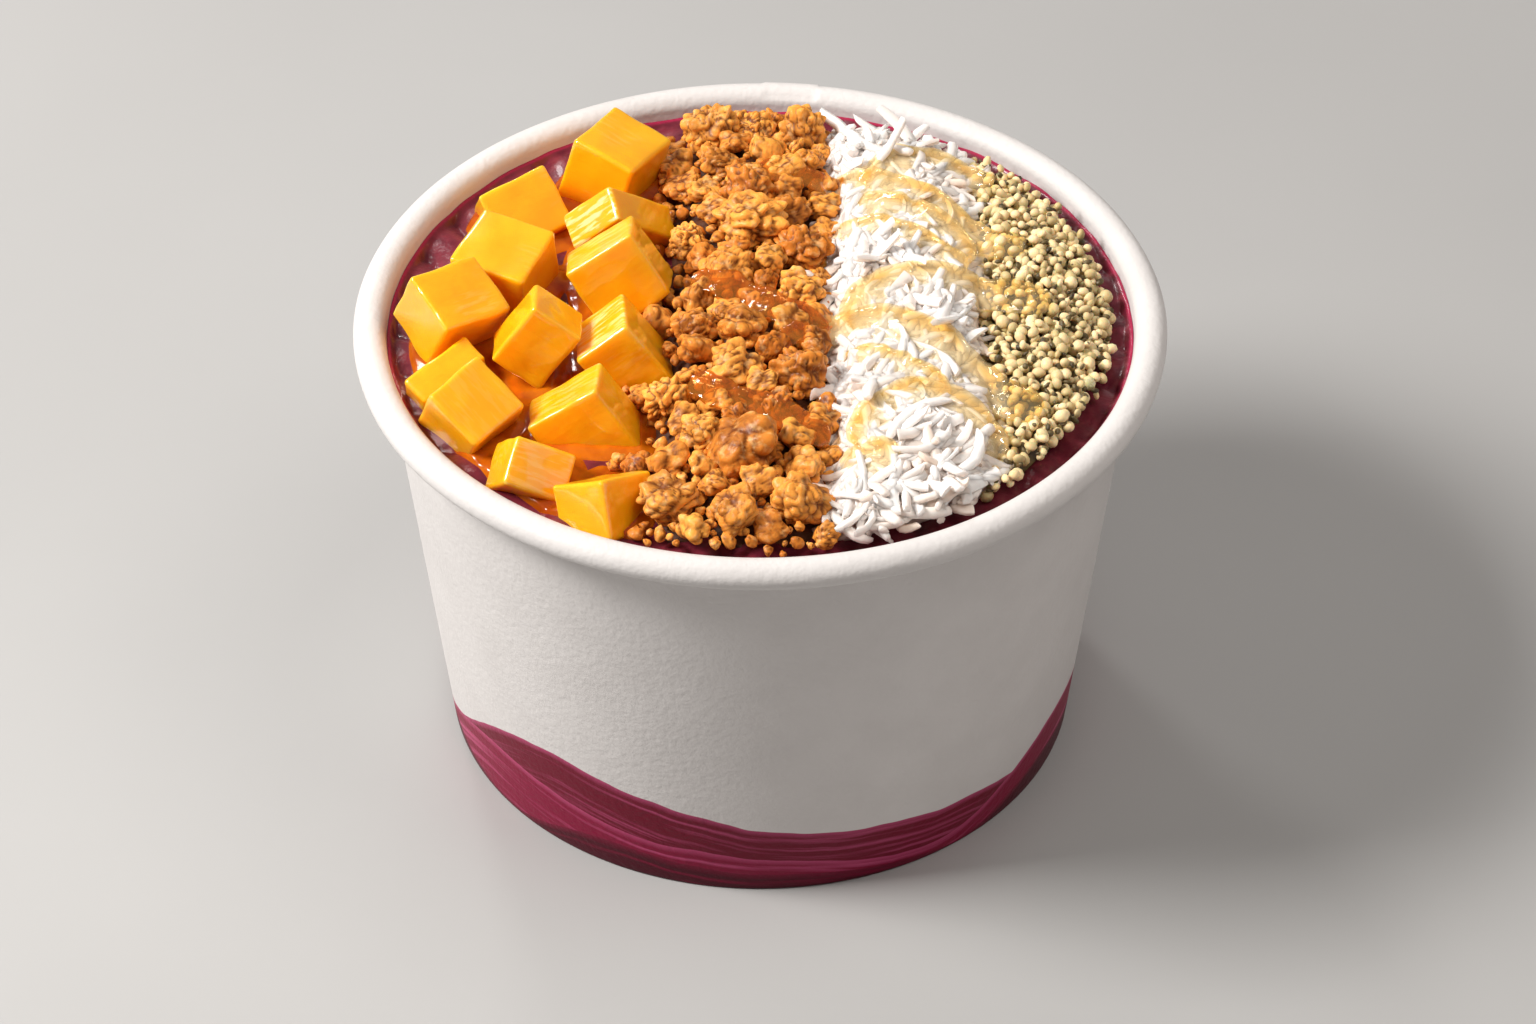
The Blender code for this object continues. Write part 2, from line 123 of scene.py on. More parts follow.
def capped_faces(rings, columns):
    """Quads between closed rings of points, and a fan of triangles from each end ring to a pole. The first
    point is the lower pole and the last point the upper one."""
    j = np.arange(columns)
    beside = (j + 1) % columns
    last = 1 + (rings - 1) * columns
    low = np.stack([0 * j, 1 + beside, 1 + j], -1)
    high = np.stack([last + j, last + beside, 0 * j + last + columns], -1)
    return [1 + grid_faces(rings, columns), np.concatenate([low, high])]


def closed_rings(rings):
    """Points and faces of a skin of rings. Each end closes onto the middle of its last ring."""
    ends = rings[[0, -1]].mean(1)
    points = np.concatenate([ends[:1], rings.reshape(-1, 3), ends[1:]])
    return points, capped_faces(*rings.shape[:2])


def repeated(faces, count, points_each):
    """The same faces for count copies of a shape whose points follow each other."""
    step = points_each * np.arange(count)[:, None, None]
    return [(f[None] + step).reshape(-1, f.shape[1]) for f in faces]


print("quads on a closed grid of 3 x 4 points:", len(grid_faces(3, 4, closed_rows=True)))


# %% Noise over whole arrays
perlin = np.frompyfunc(lambda x, y, z: noise.noise((x, y, z)), 3, 1)


def rough(points, size, seed=0.0):
    """Smooth random hills between about -1 and 1, each about size metres across, at every point."""
    spots = np.asarray(points) / size + seed
    return np.asarray(perlin(spots[..., 0], spots[..., 1], spots[..., 2]), float)


def rough_plan(x, y, size, seed=0.0):
    """The same hills over places on a plan."""
    return rough(np.stack([x, y, 0 * x], -1), size, seed)


def eased(values, low, high):
    """0 below low, 1 above high, and the smooth step 3t^2 - 2t^3 between them."""
    t = np.clip((np.asarray(values, float) - low) / (high - low), 0, 1)
    return t * t * (3 - 2 * t)


print("a smooth step from 0 to 1:", eased(np.linspace(0, 1, 5), 0, 1).round(2))


# %% [markdown]
# ## Finishes and the effects they share
#
# A finish here is a Principled shader fed by patterns. Some patterns come back in many finishes: fine
# relief, soft blotches, and painted shade in the creases between lumps and under small pieces. Each of
# these is a node group that is built once, with named inputs, and put into each material with its own
# values.

# %% Node helpers
def add_node(tree, kind, inputs=(), **settings):
    """Adds a shader node. inputs gives each socket a constant, or the output that feeds it."""
    made = tree.nodes.new("ShaderNode" + kind)
    for label, value in settings.items():
        setattr(made, label, value)
    for label, value in dict(inputs).items():
        if isinstance(value, bpy.types.NodeSocket):
            tree.links.new(value, made.inputs[label])
        else:
            made.inputs[label].default_value = value
    return made


def maths(tree, operation, *values):
    """The output of a Math node on one to three values."""
    return add_node(tree, "Math", enumerate(values), operation=operation).outputs[0]


def mixed(tree, share, first, second):
    """The colour that goes from first to second as share goes from 0 to 1."""
    return add_node(tree, "Mix", {0: share, 6: first, 7: second}, data_type="RGBA").outputs[2]


def ramp(tree, value, low, high, start=0, end=1):
    """The value that goes from start to end as value goes from low to high."""
    inputs = {"Value": value, "From Min": low, "From Max": high, "To Min": start, "To Max": end}
    return add_node(tree, "MapRange", inputs).outputs["Result"]


def mark(tree, name, part="Fac"):
    """What a mesh's own mark holds at the point that is shaded."""
    return add_node(tree, "Attribute", attribute_name=name).outputs[part]


def speckle(tree, place_in, often, detail):
    """Smooth noise at a place. often is how many of its hills fit in a unit of length."""
    inputs = {"Vector": place_in, "Scale": often, "Detail": detail}
    return add_node(tree, "TexNoise", inputs).outputs["Fac"]


def feed(tree, node, **sources):
    """Links outputs to a node's sockets, by their names."""
    for label, source in sources.items():
        tree.links.new(source, node.inputs[label.replace("_", " ")])


# %% Groups and finishes
def new_group(name, inputs, outputs):
    """A node group, what it is given and where its results go. inputs gives each input its value, where a
    colour is a tuple, and outputs gives each output its kind."""
    tree = bpy.data.node_groups.new(name, "ShaderNodeTree")
    for label, value in inputs.items():
        kind = "NodeSocketColor" if isinstance(value, tuple) else "NodeSocketFloat"
        tree.interface.new_socket(label, in_out="INPUT", socket_type=kind).default_value = value
    for label, kind in outputs.items():
        tree.interface.new_socket(label, in_out="OUTPUT", socket_type="NodeSocket" + kind)
    print("shared effect:", name)
    return tree, tree.nodes.new("NodeGroupInput").outputs, tree.nodes.new("NodeGroupOutput")


def new_finish(name, **constants):
    """A material with a Principled shader, and its constants set on the sockets themselves."""
    made = bpy.data.materials.new(name)
    made.use_nodes = True
    shader = made.node_tree.nodes["Principled BSDF"]
    for label, value in constants.items():
        shader.inputs[label.replace("_", " ")].default_value = value
    print("finish:", name)
    return made, made.node_tree, shader


def place(tree, group, **inputs):
    """Puts a node group into a material, with its inputs, and gives its outputs."""
    made = tree.nodes.new("ShaderNodeGroup")
    made.node_tree = group
    for label, value in inputs.items():
        if isinstance(value, bpy.types.NodeSocket):
            tree.links.new(value, made.inputs[label])
        else:
            made.inputs[label].default_value = value
    return made.outputs


def bumps(tree, **inputs):
    """The normal of fine relief with these inputs."""
    return place(tree, relief, **inputs)["Normal"]


def two_tone(name, first, second, size, grain, roughness):
    """A finish with soft blotches of two colours over fine relief. grain is the relief's size and depth."""
    made, tree, shader = new_finish(name, Roughness=roughness)
    cloud = place(tree, blotches, First=first, Second=second, Size=size)
    feed(tree, shader, Base_Color=cloud["Color"], Normal=bumps(tree, Size=grain[0], Depth=grain[1]))
    return made


def see_through(tree, shader, share, tint):
    """Lets that share of the light pass straight through a finish, tinted."""
    clear = add_node(tree, "BsdfTransparent", {"Color": tint})
    blend = add_node(tree, "MixShader", {0: share, 1: shader.outputs[0], 2: clear.outputs[0]})
    feed(tree, tree.nodes["Material Output"], Surface=blend.outputs[0])


WHITE = (1, 1, 1, 1)

# %% Shared effect: fine relief
relief, given, result = new_group(
    "fine_relief", {"Size": 1 * MM, "Depth": 0.1 * MM, "Detail": 3}, {"Normal": "Vector"}
)
spot = add_node(relief, "TexCoord").outputs["Object"]
hills = speckle(relief, spot, maths(relief, "DIVIDE", 1, given["Size"]), given["Detail"])
bumped = add_node(relief, "Bump", {"Distance": given["Depth"], "Height": hills})
feed(relief, result, Normal=bumped.outputs["Normal"])

# %% Shared effect: blotches of two colours
blotches, given, result = new_group(
    "blotches",
    {"First": WHITE, "Second": WHITE, "Size": 4 * MM, "Middle": 0.5, "Softness": 0.15},
    {"Color": "Color", "Mask": "Float"},
)
spot = add_node(blotches, "TexCoord").outputs["Object"]
cloud = speckle(blotches, spot, maths(blotches, "DIVIDE", 1, given["Size"]), 4)
low = maths(blotches, "SUBTRACT", given["Middle"], given["Softness"])
high = maths(blotches, "ADD", given["Middle"], given["Softness"])
mask = ramp(blotches, cloud, low, high)
feed(blotches, result, Color=mixed(blotches, mask, given["First"], given["Second"]), Mask=mask)

# %% Shared effect: random tones and painted crease shade of small pieces
lumpy, given, result = new_group(
    "lump_colour", {"Pale": WHITE, "Deep": WHITE, "Crease": WHITE, "Reach": 1}, {"Color": "Color"}
)
# A random tone per piece, then the shade colour painted over it by the share of shade the mark holds
body = mixed(lumpy, mark(lumpy, "tone"), given["Pale"], given["Deep"])
share = maths(lumpy, "MULTIPLY", mark(lumpy, "furrow"), given["Reach"])
feed(lumpy, result, Color=mixed(lumpy, share, body, given["Crease"]))

# %% [markdown]
# ## The tub's wall
#
# The tub is one sheet of coated paper wound into a cone. At the top it is curled outwards into a roll,
# at the foot it is folded up inside round the base. Turning one profile about the middle gives all of
# it. The sheet's two ends overlap at the back, so the profile steps out there by most of the paper's
# thickness, and a slow random wander keeps the curl from looking machined.

# %% Tub sizes
TUB_HEIGHT = 69 * MM
FOOT_RADIUS = 46 * MM
PAPER = 0.5 * MM
ROLL_RADIUS = 55.2 * MM
ROLL_WIDTH = 2.3 * MM
ROLL_HEIGHT = 2.05 * MM
ROLL_LEVEL = TUB_HEIGHT - ROLL_HEIGHT
SLOPE = (ROLL_RADIUS - ROLL_WIDTH + PAPER - FOOT_RADIUS) / ROLL_LEVEL
FOLD_HEIGHT = 6.5 * MM
GAP = 0.3 * MM
BASE_TOP = 8 * MM


def layer(offset, z):
    """The point (radius, z) that lies offset inside the wall's outer face at height z."""
    return (FOOT_RADIUS + SLOPE * z - offset, z)


def smooth_turn(middle, half_width, half_height, start, end, steps):
    """Points of an ellipse in the profile's plane, from one angle to another in degrees."""
    a = np.radians(np.linspace(start, end, steps))
    return np.stack([middle[0] + half_width * np.cos(a), middle[1] + half_height * np.sin(a)], -1)


def between(first, last, steps):
    """Points on a straight line, the last one left out."""
    return np.linspace(first, last, steps, endpoint=False)


print("the wall leans out by", round(math.degrees(math.atan(SLOPE)), 1), "degrees")

# %% Wall profile
fold = 2 * (PAPER + GAP) + PAPER
wall_profile = np.concatenate([
    smooth_turn(layer(0.4 * MM, 0.4 * MM), 0.4 * MM, 0.4 * MM, -90, -6, 5),
    between(layer(0, 1.2 * MM), layer(0, ROLL_LEVEL - 1.5 * MM), 40),
    smooth_turn((ROLL_RADIUS, ROLL_LEVEL), ROLL_WIDTH, ROLL_HEIGHT, -145, 180, 44),
    between(layer(PAPER, ROLL_LEVEL - 0.6 * MM), layer(PAPER, PAPER), 24),
    [layer(PAPER, PAPER), layer(fold, PAPER), layer(fold, FOLD_HEIGHT - 0.2 * MM)],
    [layer(fold + PAPER / 2, FOLD_HEIGHT), layer(fold + PAPER, FOLD_HEIGHT - 0.2 * MM)],
    [layer(fold + PAPER, 0.4 * MM), layer(fold + 0.6 * PAPER, 0)],
])
BACK = math.pi / 2
LAP = 7 * MM / FOOT_RADIUS
STEP = 0.002
TURN = 2 * math.pi
angles = np.unique(np.concatenate([
    BACK + np.linspace(0, TURN, 360, endpoint=False) + 0.004,
    BACK + np.array([0, STEP, TURN - LAP, TURN - LAP - 2 * STEP]),
]))
angles = angles[angles < BACK + TURN - 1e-6]
print("wall profile:", len(wall_profile), "points round", len(angles), "angles")

# %% Wall surface
def wound(profile, angles, lap, wander):
    """Each profile point (r, z) at each angle a gives (R cos a, R sin a, z) with R = r + lap(a) + wander,
    where lap is the paper's step at the back and wander a slow random swell of the curl."""
    r, z = profile[:, 0][:, None], profile[:, 1][:, None]
    a = angles[None] + 0 * r
    past = eased(angles - BACK, TURN - LAP - 2 * STEP, TURN - LAP)
    past = past - eased(STEP - (angles - BACK), 0, STEP)
    outside = (r > FOOT_RADIUS + SLOPE * z - PAPER / 2).astype(float)
    round_trip = np.stack([np.cos(a) * 3, np.sin(a) * 3, 40 * z + 0 * a], -1)
    swell = wander * rough(round_trip, 1.0, 4.2) * eased(z, 30 * MM, TUB_HEIGHT)
    r = r + lap * np.clip(past, 0, 1)[None] * outside + swell
    return np.stack([r * np.cos(a), r * np.sin(a), z + 0 * a], -1).reshape(-1, 3)


LAP_STEP, CURL_WANDER = 0.3 * MM, 0.12 * MM
wall_points = wound(wall_profile, angles, LAP_STEP, CURL_WANDER)
wall_faces = [grid_faces(len(wall_profile), len(angles), closed_rows=True)]
print("wall surface:", len(wall_points), "points")

# %% [markdown]
# ## Printed paper
#
# The paper is warm white with a fine, leathery grain under a thin coat. Round the foot runs a printed
# border. A plain one of three overlapping waves, each a leaning sine of the angle round the tub, takes
# its place here. The angle comes from the arc tangent of the position, so the waves close up at the back.

# %% Wave border effect
wave, given, result = new_group(
    "wave_border",
    {"Waves": 2, "Shift": 0, "Level": 10 * MM, "Swing": 5 * MM, "Streaks": 0.5, "Ink": WHITE, "Light": WHITE,
     "Under": WHITE},
    {"Color": "Color"},
)
RAGGED, EDGE_WIDTH, EDGE_LIGHT = 1.6 * MM, 1.3 * MM, 0.55
STREAKS_ROUND, STREAKS_UP = 30, 900
spot = add_node(wave, "TexCoord").outputs["Object"]
axes = add_node(wave, "SeparateXYZ", {"Vector": spot}).outputs
angle = maths(wave, "ARCTAN2", axes["X"], axes["Y"])
turned_by = maths(wave, "MULTIPLY_ADD", angle, given["Waves"], given["Shift"])
first = maths(wave, "SINE", turned_by)
lean = maths(wave, "MULTIPLY_ADD", first, -0.75, turned_by)
second = maths(wave, "SINE", lean)
crest = maths(wave, "MULTIPLY_ADD", second, given["Swing"], given["Level"])
crest = maths(wave, "MULTIPLY_ADD", speckle(wave, spot, 90, 2), RAGGED, crest)
below = maths(wave, "SUBTRACT", crest, axes["Z"])
inside = ramp(wave, below, 0, 0.12 * MM)
flow = {
    "X": maths(wave, "MULTIPLY", axes["X"], STREAKS_ROUND),
    "Y": maths(wave, "MULTIPLY", axes["Y"], STREAKS_ROUND),
    "Z": maths(wave, "MULTIPLY", below, STREAKS_UP),
}
flow = add_node(wave, "CombineXYZ", flow).outputs[0]
streak = maths(wave, "MULTIPLY", ramp(wave, speckle(wave, flow, 1, 5), 0.52, 0.74), given["Streaks"])
edge = ramp(wave, below, 0.25 * MM, EDGE_WIDTH, EDGE_LIGHT, 0)
ink = mixed(wave, maths(wave, "MAXIMUM", streak, edge), given["Ink"], given["Light"])
feed(wave, result, Color=mixed(wave, inside, given["Under"], ink))

# %% Tub paper finish
tub_paper, tree, shader = new_finish("tub_paper", Roughness=0.45, Specular_IOR_Level=0.16)
bare = place(tree, blotches, First=(0.65, 0.622, 0.608, 1), Second=(0.62, 0.592, 0.578, 1), Size=9 * MM)
PLUM_DARK, PLUM, ROSE = (0.07, 0.001, 0.010, 1), (0.15, 0.002, 0.018, 1), (0.22, 0.003, 0.034, 1)
PINK = (0.56, 0.085, 0.21, 1)
WAVES = (  # waves round the tub, shift, level, swing, streaks, ink, light
    (2, 0.9, 9.5 * MM, 8.5 * MM, 0.8, PLUM, PINK),
    (3, 2.6, 6.5 * MM, 4.5 * MM, 0.9, ROSE, PINK),
    (4, 0.4, 2.2 * MM, 2.2 * MM, 0.9, PLUM_DARK, ROSE),
)
laid = bare["Color"]
for count, shift, level, swing, streaks, ink, light in WAVES:
    laid = place(
        tree, wave, Waves=count, Shift=shift, Level=level, Swing=swing, Streaks=streaks,
        Ink=ink, Light=light, Under=laid,
    )["Color"]
spot = add_node(tree, "TexCoord").outputs["Object"]
axes = add_node(tree, "SeparateXYZ", {"Vector": spot}).outputs
flat = add_node(tree, "CombineXYZ", {"X": axes["X"], "Y": axes["Y"]}).outputs[0]
radius = add_node(tree, "VectorMath", {0: flat}, operation="LENGTH").outputs["Value"]
outer = maths(tree, "MULTIPLY_ADD", axes["Z"], SLOPE, FOOT_RADIUS - PAPER / 2)
printed = maths(tree, "GREATER_THAN", radius, outer)
feed(
    tree, shader, Base_Color=mixed(tree, printed, bare["Color"], laid),
    Normal=bumps(tree, Size=1.0 * MM, Depth=0.11 * MM),
)
make_piece("paper_wall", wall_points, wall_faces, tub_paper, ["cup_wall"], crease=50)

# %% [markdown]
# ## The base
#
# A disc of the same board is held up inside the foot, with its skirt gripped by the wall's fold. It only
# shows from below, and the disc has a shallow dish where the tool pressed it.

# %% Base disc
BOARD_IN = PAPER + GAP
rim_of_base = layer(BOARD_IN, BASE_TOP)[0]
disc_r = np.linspace(0, rim_of_base - 0.6 * MM, 24)[1:]
disc_r = disc_r[disc_r < rim_of_base - 2 * MM]
dish = 0.25 * MM * eased(disc_r, 30 * MM, 38 * MM)
base_profile = np.concatenate([
    np.stack([disc_r, BASE_TOP - PAPER - dish], -1),
    [layer(BOARD_IN + PAPER, BASE_TOP - PAPER - 0.8 * MM), layer(BOARD_IN + PAPER, 0.9 * MM)],
    [layer(BOARD_IN, 0.9 * MM), layer(BOARD_IN, BASE_TOP - 0.5 * MM), layer(BOARD_IN + 0.4 * MM, BASE_TOP)],
    np.stack([disc_r, BASE_TOP + 0 * disc_r], -1)[::-1],
])
round_about = np.linspace(0, TURN, 240, endpoint=False)


def turned(profile, angles):
    """Each profile point (r, z) at each angle a gives (r cos a, r sin a, z)."""
    r, z = profile[:, 0][:, None], profile[:, 1][:, None]
    return np.stack([r * np.cos(angles), r * np.sin(angles), z + 0 * angles], -1).reshape(-1, 3)


base_points = np.concatenate([
    [[0, 0, BASE_TOP - PAPER]], turned(base_profile, round_about), [[0, 0, BASE_TOP]]
])
base_paper = two_tone(
    "base_paper", (0.78, 0.76, 0.74, 1), (0.73, 0.71, 0.69, 1), 6 * MM, (0.8 * MM, 0.08 * MM), 0.55
)
base_faces = capped_faces(len(base_profile), len(round_about))
make_piece("base_disc", base_points, base_faces, base_paper, ["cup_base"], crease=45)

# %% [markdown]
# ## The puree
#
# Blended acai sets like thick sorbet: glossy, dark plum, and scalloped where the spoon drew it along the
# wall. The surface is a turned disc whose height is a formula of radius and angle, with a thin lip where
# the puree clings to the paper.

# %% Puree surface
FILL_LEVEL = 65.5 * MM
RIPPLE_START = 44 * MM
WALL_AT_FILL = layer(PAPER, FILL_LEVEL)[0]
HALF_SCALLOPS = 17.5


def puree_height(x, y):
    """Height of the puree: scallops sin(n a) with rounded tops near the wall, small hills elsewhere, and a
    lip that climbs the paper over the last millimetre."""
    radius, angle = np.hypot(x, y), np.arctan2(y, x)
    near = eased(radius, RIPPLE_START, RIPPLE_START + 5 * MM)
    swirl = 0.25 * rough_plan(x, y, 9 * MM) + 2.2 * (radius - 45 * MM) / (10 * MM)
    lobes = np.abs(np.sin(HALF_SCALLOPS * angle + swirl)) ** 0.7 - 0.5
    hills = rough_plan(x, y, 5 * MM, 3.1)
    lip = 0.9 * MM * eased(radius, WALL_AT_FILL - 1.3 * MM, WALL_AT_FILL - 0.2 * MM)
    scallops = near * (1.1 * MM * lobes * (1 - lip / MM) - 0.35 * MM)
    return FILL_LEVEL + scallops + 0.3 * MM * hills + lip


ring_r = np.concatenate([np.linspace(0.5 * MM, 40 * MM, 40), np.linspace(40.5 * MM, WALL_AT_FILL, 60)])
spin = np.linspace(0, TURN, 480, endpoint=False)
r, a = ring_r[::-1, None], spin[None]
x, y = r * np.cos(a), r * np.sin(a)
top = np.stack([x, y, puree_height(x, y)], -1).reshape(-1, 3)
low = BASE_TOP + GAP
side = np.array([(4 * MM, low), (30 * MM, low), layer(PAPER + GAP, low), layer(PAPER, 40 * MM)])
puree_points = np.concatenate([[[0, 0, low]], turned(side, spin), top, [[0, 0, FILL_LEVEL]]])
out = np.hypot(puree_points[:, 0], puree_points[:, 1])
thin = eased(out, WALL_AT_FILL - 0.7 * MM, WALL_AT_FILL - 0.25 * MM)
print("puree grid:", len(ring_r), "rings of", len(spin), "points")

# %% Puree finish
acai, tree, shader = new_finish(
    "acai_puree", Roughness=0.32, Specular_IOR_Level=0.35, Coat_Weight=0.2, Coat_Roughness=0.08
)
dark = place(tree, blotches, First=(0.18, 0.022, 0.036, 1), Second=(0.10, 0.010, 0.021, 1), Size=3 * MM)
smear = mixed(tree, mark(tree, "thin"), dark["Color"], (0.36, 0.014, 0.060, 1))
feed(tree, shader, Base_Color=smear, Normal=bumps(tree, Size=0.9 * MM, Depth=0.12 * MM))
make_piece(
    "puree", puree_points, capped_faces(4 + len(ring_r), len(spin)), acai, ["acai_puree"],
    {"thin": thin}, crease=60,
)

# %% [markdown]
# ## The mango
#
# Ripe mango cut with a sharp knife: flat faces that are never quite flat, edges that are crisp but wet,
# and pale fibres where the blade ran along the grain. Each cube is six grids of a box, pushed out from a
# smaller box by the edge's radius, which rounds edges and corners exactly. Every point also keeps its
# place inside its own cube, so that the fibres follow the cut and not the bowl.

# %% Where the cubes lie
MANGO = (  # x, y, height over the puree; edge lengths; turn in degrees
    ((-21.5, 34.0, 3.5), (10.5, 12.5, 11.5), (-8, 14, -30)),
    ((-34.5, 25.2, 1.5), (11.0, 9.8, 9.0), (40, -12, 28)),
    ((-36.5, 9.4, 3.5), (11.8, 11.3, 11.0), (10, 4, -24)),
    ((-20.0, 19.5, 3.5), (9.5, 6.0, 14.0), (34, -42, -8)),
    ((-20.0, 6.5, 5.0), (11.5, 9.0, 11.0), (-20, -32, 10)),
    ((-43.5, -2.9, 5.5), (11.5, 10.0, 9.4), (24, 8, 40)),
    ((-31.0, -9.5, 6.0), (8.5, 8.3, 10.4), (-14, 36, -8)),
    ((-19.0, -9.0, 2.5), (9.0, 11.0, 11.5), (-14, -36, 12)),
    ((-44.0, -12.6, 0.4), (11.4, 4.8, 8.4), (20, -14, 40)),
    ((-39.9, -22.8, 3.0), (9.8, 9.8, 10.3), (14, 30, -38)),
    ((-23.8, -23.2, 1.0), (12.0, 8.0, 12.0), (-10, -34, 2)),
    ((-31.3, -33.9, 1.4), (9.3, 7.3, 8.0), (40, 28, 4)),
    ((-20.8, -40.3, 0.5), (9.5, 10.3, 8.5), (-24, -28, -32)),
    ((-33.0, -12.5, -3.5), (6.0, 6.0, 6.0), (10, 20, 30)),
)
print("mango cubes:", len(MANGO))


def turns(roll, pitch, heading):
    """Rotation matrices, one a piece: roll about X, pitch about Y, then heading about Z, in radians."""
    cr, sr, cp, sp, ch, sh = (f(v) for v in (roll, pitch, heading) for f in (np.cos, np.sin))
    rows = (
        (ch * cp, ch * sp * sr - sh * cr, ch * sp * cr + sh * sr),
        (sh * cp, sh * sp * sr + ch * cr, sh * sp * cr - ch * sr),
        (-sp, cp * sr, cp * cr),
    )
    return np.stack([np.stack(row, -1) for row in rows], -2)


CUBES = [  # middle, half edge lengths, rotation matrix
    (np.array(at) * MM + (0, 0, FILL_LEVEL), np.array(size) * MM / 2, turns(*np.radians(turn)))
    for at, size, turn in MANGO
]


def mango_distance(points):
    """Distance from each point to the nearest cube, measured in that cube's own axes, and 0 inside it."""
    nearest = np.full(points.shape[:-1], 1.0)
    for middle, half, turn in CUBES:
        beyond = np.maximum(np.abs((points - middle) @ turn) - half, 0)
        nearest = np.minimum(nearest, np.linalg.norm(beyond, axis=-1))
    return nearest


# %% A box of six grids
def box_grid(cells):
    """Points of the cube -1..1 as six grids, denser near the edges, with shared points on shared edges, and
    the quads between them. A face's grid is (u, v, 1), and the other five are its turns."""
    t = np.linspace(-1, 1, cells + 1)
    t = np.sign(t) * (1 - (1 - np.abs(t)) ** 1.5)
    u, v = (g.ravel() for g in np.meshgrid(t, t))
    one = np.ones_like(u)
    sides = [(u, v, one), (v, u, -one), (one, u, v), (-one, v, u), (v, one, u), (u, -one, v)]
    points = np.concatenate([np.stack(s, -1) for s in sides])
    i, j = (g.ravel() for g in np.meshgrid(np.arange(cells), np.arange(cells)))
    corner = j * (cells + 1) + i
    quads = np.stack([corner, corner + 1, corner + cells + 2, corner + cells + 1], -1)
    quads = (quads[None] + (cells + 1) ** 2 * np.arange(6)[:, None, None]).reshape(-1, 4)
    _, first, number = np.unique(np.round(points, 6), axis=0, return_index=True, return_inverse=True)
    return points[first], number.ravel()[quads]


def cut_cube(unit, half, edge, seed):
    """A box of these half lengths with rounded edges: q = unit x half, core = q kept within half - edge, and
    the point is core + edge (q - core) / |q - core|. Slow noise bows the faces, fine noise nicks edges."""
    uneven = 1 + 0.05 * rough(unit, 1.4, seed)[:, None]
    q = unit * half
    core = np.clip(q, -(half - edge), half - edge)
    out = q - core
    normal = out / np.linalg.norm(out, axis=1, keepdims=True)
    points = (core + edge * normal) * uneven
    return points + normal * (0.16 * MM * rough(points, 3.5 * MM, seed) - 0.1 * MM)[:, None]


unit, box_quads = box_grid(22)
print("box:", len(unit), "points,", len(box_quads), "quads")

# %% Mango finish
mango, tree, shader = new_finish(
    "mango", Roughness=0.36, Specular_IOR_Level=0.2, Subsurface_Weight=0.85, Subsurface_Scale=2.2 * MM,
    Subsurface_Radius=(1.0, 0.8, 0.3), Coat_Weight=0.7, Coat_Roughness=0.05, Coat_IOR=1.9,
)
own = mark(tree, "in_cube", "Vector")
ripe = place(tree, blotches, First=(1.0, 0.45, 0.005, 1), Second=(1.0, 0.385, 0.003, 1), Size=7 * MM)
stretched = add_node(tree, "Mapping", {"Vector": own, "Scale": (240, 1500, 1500)}).outputs[0]
threads = speckle(tree, stretched, 1, 3)
patches = ramp(tree, speckle(tree, own, 130, 1), 0.58, 0.7, 0, 0.1)
where = maths(tree, "MAXIMUM", patches, mark(tree, "stringy"))
fibre = maths(tree, "MULTIPLY", ramp(tree, threads, 0.49, 0.6), where)
streaked = mixed(tree, fibre, ripe["Color"], (1.0, 0.80, 0.40, 1))
lines = add_node(tree, "Bump", {"Distance": 0.05 * MM, "Height": threads}).outputs["Normal"]
wet = {"Distance": 0.06 * MM, "Height": speckle(tree, own, 500, 2), "Normal": lines}
feed(tree, shader, Base_Color=streaked, Normal=add_node(tree, "Bump", wet).outputs["Normal"])

# %% Cut the cubes
STRINGY = {4: 0.7, 5: 0.3, 8: 0.55, 10: 0.05, 11: 0.2, 12: 0.15}  # how much fibres show on a cube's top
EDGE_ROUND = 0.65 * MM
on_top = eased(unit[:, 2], 0.9, 1.0) * (unit[:, 1] < 0.95)
for number, (middle, half, turn) in enumerate(CUBES, 1):
    shape = cut_cube(unit, half, EDGE_ROUND, float(number))
    make_piece(
        f"diced_mango_{number:02d}", shape @ turn.T + middle, [box_quads], mango,
        [f"mango_cube_{number:02d}"],
        {"in_cube": shape + number * 0.05, "stringy": STRINGY.get(number, 0.0) * on_top},
    )

# %% [markdown]
# ## Juice round the mango
#
# Cut mango weeps, and its juice stands between the cubes in a thin orange film that climbs their faces.
# The film is a height over the puree: it rises as exp(-(d/w)^2) with the distance d to the nearest cube,
# and dips under the puree where no cube is near.

# %% Juice film
JUICE_FRONT, JUICE_BACK, JUICE_RIGHT, JUICE_REACH = -47 * MM, 46 * MM, -11.5 * MM, 50.6 * MM


def film(across, along):
    """Rings across the mango's side of the tub, from front to back. Each runs over the film's top and back
    below it."""
    u = np.concatenate([np.linspace(0, 1, across), np.linspace(1, 0, 6)])[None]
    y = np.linspace(JUICE_FRONT, JUICE_BACK, along)[:, None]
    wall = -np.sqrt(JUICE_REACH**2 - y**2)
    x, y = wall + (JUICE_RIGHT - wall) * u, y + 0 * u
    radius = np.hypot(x, y)
    level = puree_height(np.clip(x, -0.05, 0), y)
    d = mango_distance(np.stack([x, y, 0 * x + FILL_LEVEL + 1.5 * MM], -1))
    wet = (1 - eased(d, 1.8 * MM, 3.6 * MM)) * (1 - eased(radius, 49.2 * MM, 50.4 * MM))
    wet = wet * (1 - eased(x, -14.5 * MM, -13 * MM))
    climb = 0.7 * MM * np.exp(-((d / (1.1 * MM)) ** 2)) + 0.25 * MM * rough_plan(x, y, 3 * MM, 8.0)
    z = level - 0.9 * MM + wet * (1.1 * MM + climb)
    z[:, across:] = FILL_LEVEL - 2.5 * MM
    return closed_rings(np.stack([x, y, z], -1))


